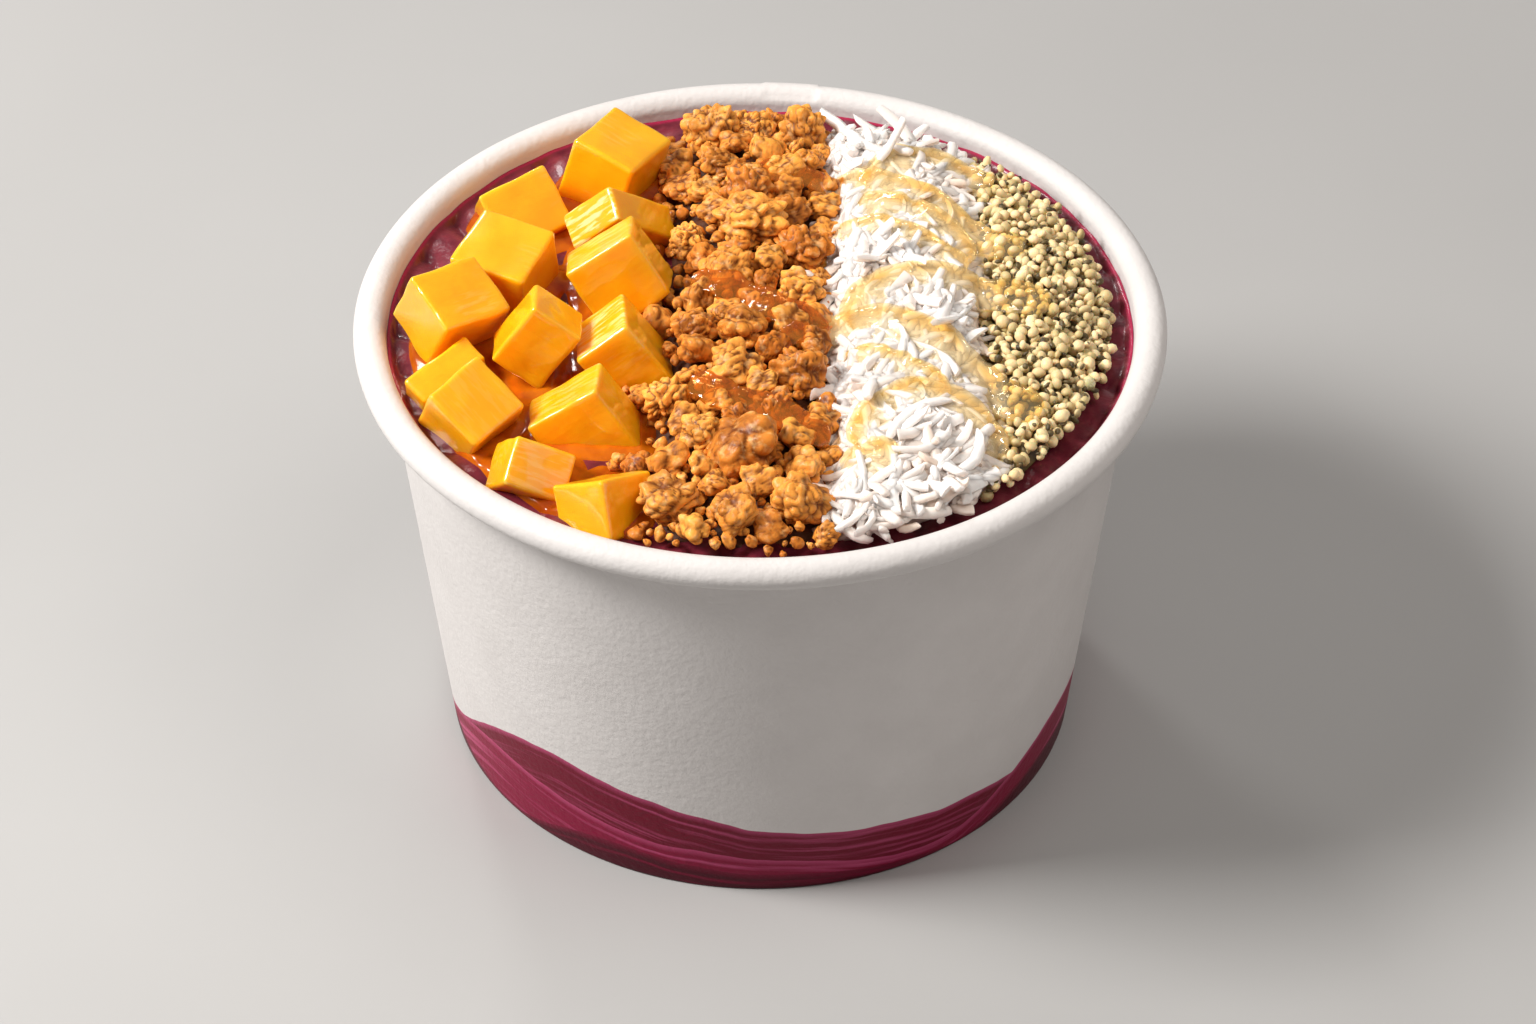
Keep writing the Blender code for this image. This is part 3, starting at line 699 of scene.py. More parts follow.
juice, tree, shader = new_finish("mango_juice", Roughness=0.16, Coat_Weight=0.5, Coat_Roughness=0.05)
shade = place(tree, blotches, First=(0.85, 0.22, 0.005, 1), Second=(0.50, 0.08, 0.004, 1), Size=4 * MM)
waves = bumps(tree, Size=2.2 * MM, Depth=0.15 * MM, Detail=2)
feed(tree, shader, Base_Color=shade["Color"], Normal=waves)
see_through(tree, shader, 0.4, (0.95, 0.45, 0.10, 1))
points, faces = film(110, 230)
make_piece("mango_juice", points, faces, juice)

# %% [markdown]
# ## The three heaps
#
# To the right of the mango lie granola, coconut and hemp seeds, in bands that run from front to back. Each
# heap has a low core whose height is a formula, highest in the middle of its band, and the real pieces are
# laid over it. The borders between the bands are leaning lines with a slow wander, shared with the solids.
# At the back the heaps fall off a little before the paper, so that a strip of puree shows behind them.

# %% Heights of the heaps
GRANOLA_LEFT, COCONUT_LEFT = (-13.5 * MM, 0.035, 1), (10.4 * MM, 0.0, 2)
HEMP_LEFT, HEMP_RIGHT = (31.2 * MM, -0.02, 3), (48.6 * MM, 0.0, 4)
CORE_REACH = 47.8 * MM
PIECE_REACH = 51.5 * MM
HEAP_FOOT = FILL_LEVEL + GAP
BANDS = {  # left and right border, crown and lumps of the core, how much sooner it falls at the back
    "granola": (GRANOLA_LEFT, COCONUT_LEFT, 3.8 * MM, 1.2 * MM, 0.5 * MM),
    "coconut": (COCONUT_LEFT, HEMP_LEFT, 4.6 * MM, 0.7 * MM, 4.5 * MM),
    "hemp": (HEMP_LEFT, HEMP_RIGHT, 3.6 * MM, 0.5 * MM, 0.0),
}


def border(line, y):
    """The x of a border at y: middle + lean y + a wander of up to 0.9 mm."""
    middle, lean, wave_number = line
    return middle + lean * y + 0.9 * MM * np.asarray(perlin(y * 60, wave_number, 0.0), float)


def heap_top(band, x, y):
    """Height of a heap's core: a foot of 1.1 mm, and a crown (1 - |s|^2.6)^0.6 across the band, where s is
    -1 and 1 at its borders, faded towards the tub's wall, with lumps of noise."""
    left, right, crown, lumps, sooner = BANDS[band]
    low, high = border(left, y), border(right, y)
    share = (2 * x - low - high) / (high - low)
    side = np.clip(1 - np.abs(share) ** 2.6, 0, 1) ** 0.6
    out = np.hypot(x, y + sooner * eased(y, 30 * MM, 46 * MM))
    end = np.clip(1 - (out / (PIECE_REACH + MM)) ** 8, 0, 1)
    lump = np.asarray(perlin(220 * x, 220 * y, 0.0), float)
    return HEAP_FOOT + 1.1 * MM + crown * side * end + lumps * lump * side


for band, (left, right, *_) in BANDS.items():
    crest = float(heap_top(band, (left[0] + right[0]) / 2, 0.0))
    print(f"{band} core: {1000 * (crest - FILL_LEVEL):.1f} mm over the puree")


# %% Cores of the heaps
def core_points(band, across, along, sink, uneven, size, seed, back=0.0):
    """A band's core as rings across it, from front to back. A ring runs over the top, u from 0 to 1 between
    the borders, and back along the foot. The top lies sink below the heap, uneven by noise of that size, and
    at the back the core ends that much sooner."""
    left, right = BANDS[band][:2]
    u = np.concatenate([np.linspace(0, 1, across), np.linspace(1, 0, 8)])[None]
    v = np.linspace(-1, 1, along)[:, None]
    reach = CORE_REACH - back * (v > 0)
    y = v * np.sqrt(reach**2 - (left[0] + (right[0] - left[0]) * u) ** 2)
    low, high = border(left, y) + GAP / 2, border(right, y) - GAP / 2
    x = low + (high - low) * u
    z = heap_top(band, x, y) - sink - 1.6 * MM * eased(np.abs(v), 0.9, 1)
    z = z + uneven * rough(np.stack([x, y, z], -1), size, seed)
    z[:, across:] = HEAP_FOOT - 0.5 * MM
    return closed_rings(np.stack([x, y, z], -1))


# %% [markdown]
# ## Placing small things
#
# Pieces that were poured lie evenly but never in a pattern. For each new piece a few dozen places are
# tried, and the one with the most room round it is kept. That fills gaps first, as shaking a bowl does.

# %% Filling a band
FRONT_ROOM, BACK_ROOM = 1.0 * MM, 3.4 * MM


def fill_band(band, widths, chance, taken, overlap, reach, tries=40, spill=0.0):
    """Plan places for pieces of these widths, largest first. Each takes the best of some random places, and
    is left out where it would overlap its neighbours by more than overlap of their half widths. spill lets
    pieces lie that far over the left border."""
    left, right = BANDS[band][:2]
    placed = [tuple(t) for t in taken]
    fresh = []
    for width in sorted(widths, reverse=True):
        y = chance.uniform(-reach, reach, tries)
        low = border(left, y) + width / 2 - spill
        high = border(right, y) - width / 4 + MM * rough_plan(y, 0 * y, 6 * MM)
        x = low + (high - low) * chance.random(tries)
        room = np.full(tries, 1.0)
        if placed:
            others = np.array(placed)
            apart = np.hypot(x[:, None] - others[:, 0], y[:, None] - others[:, 1])
            room = (apart / ((width + others[:, 2]) / 2)).min(1)
        out = np.hypot(x, y + np.where(y > 0, BACK_ROOM, FRONT_ROOM))
        room[out + width / 2 > reach - 0.5 * MM] = -1
        best = int(room.argmax())
        if room[best] > 1 - overlap:
            placed.append((x[best], y[best], width))
            fresh.append(placed[-1])
    return np.array(fresh)


def ball(rings, columns):
    """Unit directions (cos b cos a, cos b sin a, sin b) from the lower pole to the upper one."""
    b = np.linspace(-math.pi / 2, math.pi / 2, rings + 2)[1:-1, None]
    a = np.linspace(0, TURN, columns, endpoint=False)[None]
    ring = np.stack([np.cos(b) * np.cos(a), np.cos(b) * np.sin(a), np.sin(b) + 0 * a], -1)
    return np.concatenate([[[0, 0, -1.0]], ring.reshape(-1, 3), [[0, 0, 1.0]]])


# %% [markdown]
# ## Granola
#
# Baked granola is made of puffed grains and oats stuck together with syrup, so each cluster is a ball of
# smaller balls. Seen from its middle, its surface is where a ray leaves the last of those lumps, which is
# one formula for all directions at once. Where two lumps meet there is a furrow, and the same formula
# says how near it is, so the furrows can be painted darker, as the shade that falls in them.

# %% A ball of lumps
def lump_shapes(d, count, lumps, melt, chance):
    """Balls of lumps, and how near a furrow each point is, as a share of painted shade there. Along
    direction d the radius is the soft maximum over lumps of d.c + sqrt(r^2 - |c|^2 + (d.c)^2), for lump
    middles c and radii r."""
    middles = chance.normal(size=(count, lumps, 3))
    middles /= np.linalg.norm(middles, axis=-1, keepdims=True)
    radii = chance.uniform(0.26, 0.46, (count, lumps))
    middles *= (0.98 - radii * chance.uniform(0.7, 1.1, (count, lumps)))[..., None]
    radii[:, 0], middles[:, 0] = 0.72, 0
    along = np.einsum("dk,nlk->ndl", d, middles)
    inside = radii[:, None] ** 2 - (middles**2).sum(-1)[:, None] + along**2
    reach = np.where(inside > 0, along + np.sqrt(np.maximum(inside, 0)), 0)
    two = np.partition(reach, -2, -1)[..., -2:]
    radius = np.log(np.exp(reach / melt).sum(-1)) * melt
    # Painted shade where two lumps meet
    furrow = np.exp(-(two[..., 1] - two[..., 0]) / 0.1) * eased(1.05 - two[..., 1], 0.0, 0.3)
    return d[None] * radius[..., None], furrow


# %% Granola pieces
def nuggets(
    spots, widths, rings, columns, lumps, chance, melt=0.08, wrinkle=0.5, flat=(0.62, 0.9), dish=0.3
):
    """Balls of lumps, one a spot, flattened and turned. Noise folds the skin by up to wrinkle, and the upper
    side sinks by up to dish, as in a puffed grain that has caved in. Returns points, faces and two marks:
    the share of painted shade in furrows, fold grooves and the caved-in hollow, and a random tone."""
    d, count = ball(rings, columns), len(spots)
    unit, furrow = lump_shapes(d, count, lumps, melt, chance)
    seeds = chance.uniform(0, 50, (count, 1, 1))
    folds = np.abs(rough(unit * 2.5 + seeds, 1.0))
    deep = chance.uniform(0.3, 1.0, (count, 1)) * wrinkle
    unit = unit * (1 + deep * (folds - 0.25))[..., None]
    # The grooves of the folds get painted shade too
    furrow = np.clip(furrow + 1.2 * eased(0.16 - folds, 0, 0.16) * deep / wrinkle, 0, 1)
    squash = np.stack([np.ones(count), chance.uniform(0.8, 1, count), chance.uniform(*flat, count)], -1)
    tilts = [chance.normal(mean, spread, count) for mean, spread in ((0.45, 0.4), (-0.1, 0.4), (0, 0.5))]
    first = turns(*chance.uniform(0, TURN, (3, count)))
    unit = np.einsum("nij,ndj->ndi", first, unit)
    upward = unit[..., 2] / np.linalg.norm(unit, axis=-1)
    hollow = eased(upward, 0.5, 0.95) * (dish * chance.uniform(-0.2, 1, (count, 1)))
    # The caved-in hollow gets painted shade
    furrow = np.clip(furrow + 0.9 * np.maximum(hollow, 0) / 0.3 * (0.4 + folds), 0, 1)
    unit = unit * (1 - hollow)[..., None] * squash[:, None]
    unit = np.einsum("nij,ndj->ndi", turns(*tilts), unit) * (widths / 2)[:, None, None]
    points = (unit + spots[:, None]).reshape(-1, 3)
    marks = {"furrow": furrow.ravel(), "tone": np.repeat(chance.random(count), len(d))}
    return points, repeated(capped_faces(rings, columns), count, len(d)), marks


# %% Granola finish
granola, tree, shader = new_finish(
    "granola", Roughness=0.48, Specular_IOR_Level=0.16, Subsurface_Weight=0.2, Subsurface_Scale=0.9 * MM,
    Subsurface_Radius=(1.0, 0.45, 0.15), Coat_Weight=0.1, Coat_Roughness=0.2,
)
# Random toasting tones per piece, with painted shade in the furrows
toast_and_furrow_shade = place(
    tree, lumpy, Pale=(1.0, 0.43, 0.075, 1), Deep=(0.62, 0.190, 0.022, 1), Crease=(0.13, 0.028, 0.004, 1),
    Reach=0.95,
)["Color"]
flour = place(tree, blotches, Size=1.3 * MM, Middle=0.62, Softness=0.08)["Mask"]
dusted = mixed(tree, maths(tree, "MULTIPLY", flour, 0.45), toast_and_furrow_shade, (0.95, 0.58, 0.24, 1))
feed(tree, shader, Base_Color=dusted, Normal=bumps(tree, Size=0.55 * MM, Depth=0.16 * MM))
# The core is painted dark brown, as the shade in the gaps between the granola pieces
crumb_in_shade = two_tone(
    "granola_crumb_in_shade", (0.10, 0.028, 0.006, 1), (0.04, 0.010, 0.003, 1), 1.6 * MM, (0.7 * MM, 0.3 * MM), 0.7
)

# %% Granola clusters
CLUSTERS = (  # x, y, width
    (-7.3, 42.5, 9.0), (6.0, 42.0, 7.5), (-0.8, 42.0, 5.5), (-6.0, 33.0, 6.5), (3.6, 31.0, 6.5),
    (7.0, 34.0, 5.0), (-11.5, 29.5, 6.0), (-2.0, 25.5, 8.0), (-1.7, 17.0, 10.0), (-10.3, 15.0, 6.0),
    (6.0, 12.0, 8.0), (-4.3, 6.0, 8.0), (5.6, 3.0, 7.0), (-9.2, -6.0, 7.0), (-2.6, -8.0, 7.5),
    (5.6, -17.0, 9.0), (-3.4, -16.5, 8.5), (-12.6, -21.0, 7.0), (-2.1, -34.0, 11.0), (6.2, -36.5, 6.5),
    (-11.8, -42.8, 9.0), (-3.7, -46.0, 7.0), (5.4, -43.6, 8.5), (-8.0, -31.0, 6.5), (1.8, -25.0, 6.0),
)


def settle(band, plan, lift):
    """Points over a heap: the plan place with z = heap + lift x width."""
    x, y, width = plan.T
    return np.stack([x, y, heap_top(band, x, y) + lift * width], -1)


clusters = np.array(CLUSTERS) * MM
inner_edge = border(COCONUT_LEFT, clusters[:, 1]) - clusters[:, 2] / 2 + 1.3 * MM
clusters[:, 0] = np.minimum(clusters[:, 0], inner_edge)
chance = np.random.default_rng(21)
points, faces, marks = nuggets(settle("granola", clusters, 0.12), clusters[:, 2], 46, 66, 26, chance)
make_piece("granola_clusters", points, faces, granola, ["granola"], marks)

# %% Granola bits
bits = fill_band(
    "granola", chance.uniform(3.2, 6.4, 230) * MM, chance, clusters, 0.2, PIECE_REACH, spill=5.5 * MM
)
spots = settle("granola", bits, 0.08)
free = mango_distance(spots) > 0.3 * bits[:, 2]
bits, spots = bits[free], spots[free]
points, faces, marks = nuggets(spots, bits[:, 2], 20, 30, 12, chance, wrinkle=0.4, flat=(0.6, 0.95))
make_piece("granola_bits", points, faces, granola, ["granola"], marks)

# %% Granola crumbs and core
crumbs = fill_band(
    "granola", chance.uniform(1.2, 3.0, 520) * MM, chance, bits, 0.5, PIECE_REACH, tries=25, spill=6.5 * MM
)
spots = settle("granola", crumbs, -0.1)
free = mango_distance(spots) > 0.3 * crumbs[:, 2]
points, faces, marks = nuggets(
    spots[free], crumbs[free, 2], 6, 9, 6, chance, melt=0.09, wrinkle=0.35, dish=0
)
make_piece("granola_crumbs", points, faces, granola, ["granola"], marks)
# The core shows only in the gaps, in its dark painted shade
points, faces = core_points("granola", 50, 200, 1.7 * MM, 0.5 * MM, 2.2 * MM, 1.0, back=3.2 * MM)
make_piece("granola_core", points, faces, crumb_in_shade, ["granola"])

# %% [markdown]
# ## The honey's course
#
# The honey comes last, but its course is fixed here, because the shreds below a strand are pressed flat.
# A strand is given by a few places on the plan, and a smooth curve is drawn through them.

# %% Where the honey runs
STRANDS = (  # half width, thickness, lift, plan points
    (3.0, 1.0, 1.2, ((16.0, 24.6), (18.6, 30.0), (23.0, 32.6), (28.0, 31.6), (33.6, 28.0))),
    (2.7, 1.0, 1.4, ((7.5, 27.5), (12.0, 27.4), (17.0, 26.2), (22.3, 23.4),
                     (28.2, 18.6), (33.0, 13.8), (37.8, 11.6))),
    (2.2, 1.0, 1.3, ((9.6, 17.0), (12.8, 16.2), (18.0, 14.6), (23.4, 11.6), (29.2, 6.4))),
    (2.6, 0.9, 1.3, ((14.0, 21.6), (18.0, 20.6), (22.4, 18.2), (27.0, 14.2), (29.6, 8.6))),
    (3.0, 1.0, 1.4, ((13.2, -7.6), (15.0, -1.4), (18.9, 2.4), (24.4, 3.8),
                     (30.4, 2.4), (35.4, 0.6), (40.4, -3.0))),
    (3.4, 1.1, 1.4, ((6.0, -6.6), (12.0, -6.0), (17.6, -7.2), (23.4, -11.0),
                     (28.4, -16.0), (33.4, -21.4), (38.4, -25.4))),
    (2.6, 0.9, 1.1, ((10.6, -13.0), (15.3, -14.6), (20.4, -18.0), (25.6, -23.8))),
    (3.0, 1.0, 1.3, ((13.6, -33.6), (15.2, -28.6), (18.4, -24.8), (23.0, -23.6),
                     (28.4, -26.4), (33.4, -32.4))),
    (3.2, 1.0, 1.2, ((10.6, -36.0), (14.6, -36.4), (19.0, -36.0))),
)
GLAZES = (  # the same for the thin glazes on the granola
    (2.6, 1.2, 2.1, ((-9.8, 3.6), (-5.0, 1.2), (-1.0, -1.6), (3.4, -4.6), (9.6, -6.4))),
    (2.4, 1.1, 2.0, ((-9.6, -19.8), (-4.3, -24.0), (1.7, -26.6), (9.4, -31.6))),
    (2.0, 1.0, 1.9, ((0.0, 30.5), (4.4, 29.4), (8.6, 28.2), (12.0, 27.4))),
    (1.8, 0.9, 1.9, ((2.0, -11.0), (5.4, -9.0), (9.6, -8.4))),
)


def spline_through(stops, count):
    """A Catmull-Rom curve through plan points, at count even steps."""
    p = np.concatenate([[2 * stops[0] - stops[1]], stops, [2 * stops[-1] - stops[-2]]])
    t = np.linspace(0, len(stops) - 1 - 1e-9, count)
    i, t = t.astype(int), (t % 1)[:, None]
    a, b, c, d = p[i], p[i + 1], p[i + 2], p[i + 3]
    return 0.5 * (2 * b + (c - a) * t + (2 * a - 5 * b + 4 * c - d) * t**2 + (3 * b - a - 3 * c + d) * t**3)


def under_honey(x, y):
    """1 where a plan place lies below a honey strand, fading to 0 just outside it."""
    share = np.zeros(len(x))
    for half, _, _, stops in STRANDS:
        line = spline_through(np.array(stops) * MM, 40)
        gap = np.hypot(x[:, None] - line[:, 0], y[:, None] - line[:, 1]).min(1)
        share = np.maximum(share, 1 - eased(gap, half * MM, (half + 1.5) * MM))
    return share


print("honey:", len(STRANDS), "strands and", len(GLAZES), "glazes")


# %% [markdown]
# ## Coconut
#
# Shredded coconut is cut strips a millimetre or so wide, blunt or torn at their ends, that fall on each
# other in all directions. A shred is a small six-sided section carried along a bent line that follows
# the heap below it, and several layers of them hide the core.

# %% Shreds along bent lines
def shreds(middles, lengths, widths, headings, rises, bends, lifts, band, chance):
    """Strips, one a middle. At s from -1 to 1 the line is middle + s L/2 heading + bend (1 - s^2) sideways,
    draped on the heap, plus lift and rise s. A flat six-sided section is carried along it, narrower at its
    ends."""
    count, stations = len(middles), 7
    s = np.array([-1, -0.85, -0.5, 0, 0.5, 0.85, 1])[None]
    along = np.stack([np.cos(headings), np.sin(headings)], -1)[:, None]
    aside = np.stack([-np.sin(headings), np.cos(headings)], -1)[:, None]
    plan = middles[:, None, :2] + along * (s * lengths[:, None] / 2)[..., None]
    plan = plan + aside * (bends[:, None] * (1 - s**2))[..., None]
    ground = heap_top(band, plan[..., 0], plan[..., 1])
    ground = 0.5 * ground + 0.5 * ground.mean(1, keepdims=True)
    z = ground + lifts[:, None] + rises[:, None] * s * lengths[:, None] / 2
    line = np.concatenate([plan, z[..., None]], -1)
    ends = chance.uniform(0.0, 0.4, (count, 2))
    taper = np.where(s < 0, 1 - ends[:, :1] * np.abs(s) ** 5, 1 - ends[:, 1:] * np.abs(s) ** 5)
    a = np.radians(np.array([-150, -90, -30, 30, 90, 150]))
    twist = chance.normal(0, 0.5, (count, 1, 1)) + chance.normal(0, 0.25, (count, 1, 1)) * s[..., None]
    flatness = chance.uniform(0.5, 0.85, (count, 1, 1))
    u, w = np.cos(a) * np.ones_like(twist), np.sin(a) * flatness
    u, w = u * np.cos(twist) - w * np.sin(twist), u * np.sin(twist) + w * np.cos(twist)
    half = (widths[:, None] / 2 * taper)[..., None]
    aside = np.concatenate([aside, np.zeros((count, 1, 1))], -1)[:, :, None]
    up = np.array([0, 0, 1.0])
    skew = np.concatenate([along, rises[:, None, None]], -1)[:, :, None]
    slant = chance.normal(0, 0.5, (count, 1, 1)) * (np.abs(s) ** 6)[..., None] * u * half
    rings = line[:, :, None] + aside * (u * half)[..., None] + up * (w * half)[..., None]
    rings = rings + skew * slant[..., None]
    bulge = skew[:, 0, 0] * (0.06 * widths)[:, None]
    first, last = rings[:, 0].mean(1) - bulge, rings[:, -1].mean(1) + bulge
    points = np.concatenate([first[:, None], rings.reshape(count, -1, 3), last[:, None]], 1)
    tones = np.repeat(chance.random(count), points.shape[1])
    faces = repeated(capped_faces(stations, 6), count, points.shape[1])
    # Shreds lying lower get more painted shade
    deep = np.repeat(1 - eased(lifts, -0.4 * MM, 1.0 * MM), points.shape[1])
    return points.reshape(-1, 3), faces, {"tone": tones, "furrow": deep}


# %% Coconut finish
coconut, tree, shader = new_finish(
    "coconut", Roughness=0.38, Subsurface_Weight=0.5, Subsurface_Scale=1.2 * MM,
    Subsurface_Radius=(1.0, 0.85, 0.8), Coat_Weight=0.1, Coat_Roughness=0.25,
)
# Random tones of the flesh, and a warm painted shade on the lower shreds and on the core
flesh_and_shade = place(
    tree, lumpy, Pale=(0.92, 0.865, 0.835, 1), Deep=(0.86, 0.79, 0.74, 1), Crease=(0.86, 0.66, 0.53, 1),
    Reach=0.8,
)
feed(tree, shader, Base_Color=flesh_and_shade["Color"], Normal=bumps(tree, Size=0.5 * MM, Depth=0.05 * MM))

# %% Lay the shreds
FRONT_LIMIT, BACK_LIMIT = 51.4 * MM, 48.2 * MM


def lay_shreds(count, chance):
    """Random shreds in the coconut's band, kept within its borders and the tub."""
    y = chance.uniform(-1, 1, count) * 48.5 * MM
    low, high = border(COCONUT_LEFT, y), border(HEMP_LEFT, y)
    x = low + (high - low) * chance.uniform(0.0, 0.97, count)
    lengths = (3.2 + 9.5 * chance.random(count) ** 1.9) * MM
    headings = chance.normal(0.95, 0.9, count)
    reach = lengths / 2 * np.abs(np.cos(headings))
    x = np.clip(x, low + 0.5 * reach - 2.2 * MM, high - 0.4 * reach)
    far = np.hypot(np.abs(x) + 0.5 * reach, np.abs(y) + lengths / 2 * np.abs(np.sin(headings)))
    keep = far < np.where(y > 0, BACK_LIMIT, FRONT_LIMIT)
    return x[keep], y[keep], lengths[keep], headings[keep]


chance = np.random.default_rng(33)
x, y, lengths, headings = lay_shreds(1400, chance)
count = len(x)
pressed = under_honey(x, y)
layers = (chance.uniform(-0.3, 1.3, count) * (1 - 0.6 * pressed)) * MM
widths = (1.15 + 1.1 * chance.random(count)) * MM
rises = chance.normal(0.05, 0.3, count) * (1 - 0.7 * pressed)
bends = chance.normal(0, 0.13, count) * lengths
points, faces, marks = shreds(
    np.stack([x, y], -1), lengths, widths, headings, rises, bends, layers, "coconut", chance
)
make_piece("coconut_shreds", points, faces, coconut, ["coconut"], marks, crease=72)
points, faces = core_points("coconut", 40, 160, 0.1 * MM, 0.35 * MM, 1.8 * MM, 7.0, back=3.6 * MM)
# The core is painted all in the warm shade colour
marks = {"tone": np.ones(len(points)), "furrow": np.ones(len(points))}
make_piece("coconut_core", points, faces, coconut, ["coconut"], marks)

# %% [markdown]
# ## Hemp seeds
#
# Hulled hemp seeds are soft beads under two millimetres long, cream with a green cast, with crumbs of dark
# hull between them. They are small enough that about a hundred triangles each are plenty. They are laid in
# three layers on a core painted dark as shade, so that the gaps between them look deep.

# %% Beads
def beads(spots, widths, rings, columns, chance, slim=(0.56, 0.95)):
    """Egg shapes, one a spot: unit directions d (1 - 0.18 x), so thinner towards one end, with each axis
    scaled."""
    d, count = ball(rings, columns), len(spots)
    d = d * (1 - 0.18 * d[:, :1]) + 0.07 * rough(d, 1.1)[:, None] * d
    squash = np.stack([np.ones(count), chance.uniform(*slim, count), chance.uniform(*slim, count)], -1)
    spin = turns(chance.normal(0, 0.6, count), chance.normal(0, 0.6, count), chance.uniform(0, TURN, count))
    unit = d[None] * squash[:, None] * (widths / 2)[:, None, None]
    points = np.einsum("nij,ndj->ndi", spin, unit) + spots[:, None]
    tones = np.repeat(chance.random(count), len(d))
    # The underside of each bead gets painted shade
    under = eased(-d[:, 2], -0.1, 0.9)[None] * np.ones((count, 1))
    faces = repeated(capped_faces(rings, columns), count, len(d))
    return points.reshape(-1, 3), faces, {"tone": tones, "furrow": under.ravel()}


# %% Hemp finish
hemp, tree, shader = new_finish(
    "hemp_seeds", Roughness=0.45, Specular_IOR_Level=0.3, Subsurface_Weight=0.3, Subsurface_Scale=0.5 * MM
)
# Random cream to green tones, and painted shade on the bead undersides
seed_skin_and_shade = place(
    tree, lumpy, Pale=(0.98, 0.77, 0.45, 1), Deep=(0.56, 0.43, 0.20, 1), Crease=(0.20, 0.13, 0.045, 1),
    Reach=0.5,
)
feed(tree, shader, Base_Color=seed_skin_and_shade["Color"], Normal=bumps(tree, Size=0.45 * MM, Depth=0.06 * MM))
# Dark hull colours, worn by the hull crumbs and also by the core as painted shade in the gaps
hull_and_gap_shade = two_tone(
    "hemp_hull_and_gap_shade", (0.17, 0.12, 0.045, 1), (0.05, 0.034, 0.014, 1), 1.2 * MM, (0.6 * MM, 0.2 * MM), 0.5
)

# %% Pour the seeds
def pour(band, pitch, reach, chance, left_in=-0.9 * MM):
    """A brick-laid grid of places over a band, each moved about by a third of the pitch."""
    rows = np.arange(-reach, reach, pitch * 0.87)
    columns = np.arange(-reach, reach, pitch)
    x = columns[None] + np.where(np.arange(len(rows)) % 2, pitch / 2, 0)[:, None]
    x, y = x.ravel(), (rows[:, None] + 0 * columns[None]).ravel()
    x, y = (c + chance.uniform(-0.33, 0.33, len(x)) * pitch for c in (x, y))
    left = border(BANDS[band][0], y)
    edge = reach - 0.9 * MM * (0.5 + 0.5 * rough_plan(x, y, 6 * MM, 5.0))
    keep = (x > left + left_in) & (np.hypot(x, y) < edge)
    return x[keep], y[keep]


chance = np.random.default_rng(47)
seed_places, seed_widths = [], []
LAYERS = ((-0.8 * MM, 1.8 * MM), (0.0, 1.95 * MM), (0.65 * MM, 2.3 * MM))  # level, pitch
for level, pitch in LAYERS:
    x, y = pour("hemp", pitch, 50.2 * MM, chance)
    widths = (1.3 + 0.95 * chance.random(len(x)) ** 1.5) * MM
    z = heap_top("hemp", x, y) + level + chance.uniform(-0.25, 0.25, len(x)) * MM
    seed_places.append(np.stack([x, y, z], -1))
    seed_widths.append(widths)
seed_places, seed_widths = np.concatenate(seed_places), np.concatenate(seed_widths)
points, faces, marks = beads(seed_places, seed_widths, 6, 9, chance)
make_piece("hemp_beads", points, faces, hemp, ["hemp_seeds"], marks)

# %% Hulls and the hemp's core
x, y = pour("hemp", 1.9 * MM, 50.0 * MM, chance)
z = heap_top("hemp", x, y) + chance.uniform(-0.4, 0.9, len(x)) * MM
points, faces, marks = beads(
    np.stack([x, y, z], -1), chance.uniform(0.8, 1.7, len(x)) * MM, 4, 6, chance, slim=(0.35, 0.8)
)
make_piece("hemp_hulls", points, faces, hull_and_gap_shade, ["hemp_seeds"], marks)
# The core is painted in the dark hull colours, as the shade deep in the gaps between seeds
points, faces = core_points("hemp", 30, 120, 1.3 * MM, 0.3 * MM, 1.5 * MM, 2.0)
make_piece("hemp_core", points, faces, hull_and_gap_shade, ["hemp_seeds"])

# %% [markdown]
# ## Honey
#
# Thick honey lies in flat, clear ribbons across the heaps. It bridges gaps, so its line is the heap's
# height smoothed upwards. The section is a flat lens, thicker along one side where it has gathered. The
# shader lets the pieces below show through, tinted amber. Only a small share of it is glossy, so its coat
# bends light far more than real honey would, to keep the highlights as bright as in the photograph.

# %% Honey ribbons
def food_top(x, y):
    """Height of whichever heap is below a place, with a soft step between bands."""
    tops = [heap_top(band, x, y) for band in BANDS]
    over_coconut = eased(x - border(COCONUT_LEFT, y), -0.5 * MM, 0.5 * MM)
    over_hemp = eased(x - border(HEMP_LEFT, y), -0.5 * MM, 0.5 * MM)
    return (tops[0] * (1 - over_coconut) + tops[1] * over_coconut) * (1 - over_hemp) + tops[2] * over_hemp


def bridged(z, passes):
    """A line of heights pulled up over its dips: passes times the larger of itself and the mean of its
    neighbours."""
    for _ in range(passes):
        z[1:-1] = np.maximum(z[1:-1], (z[:-2] + z[2:]) / 2 - 0.004 * MM)
    return z


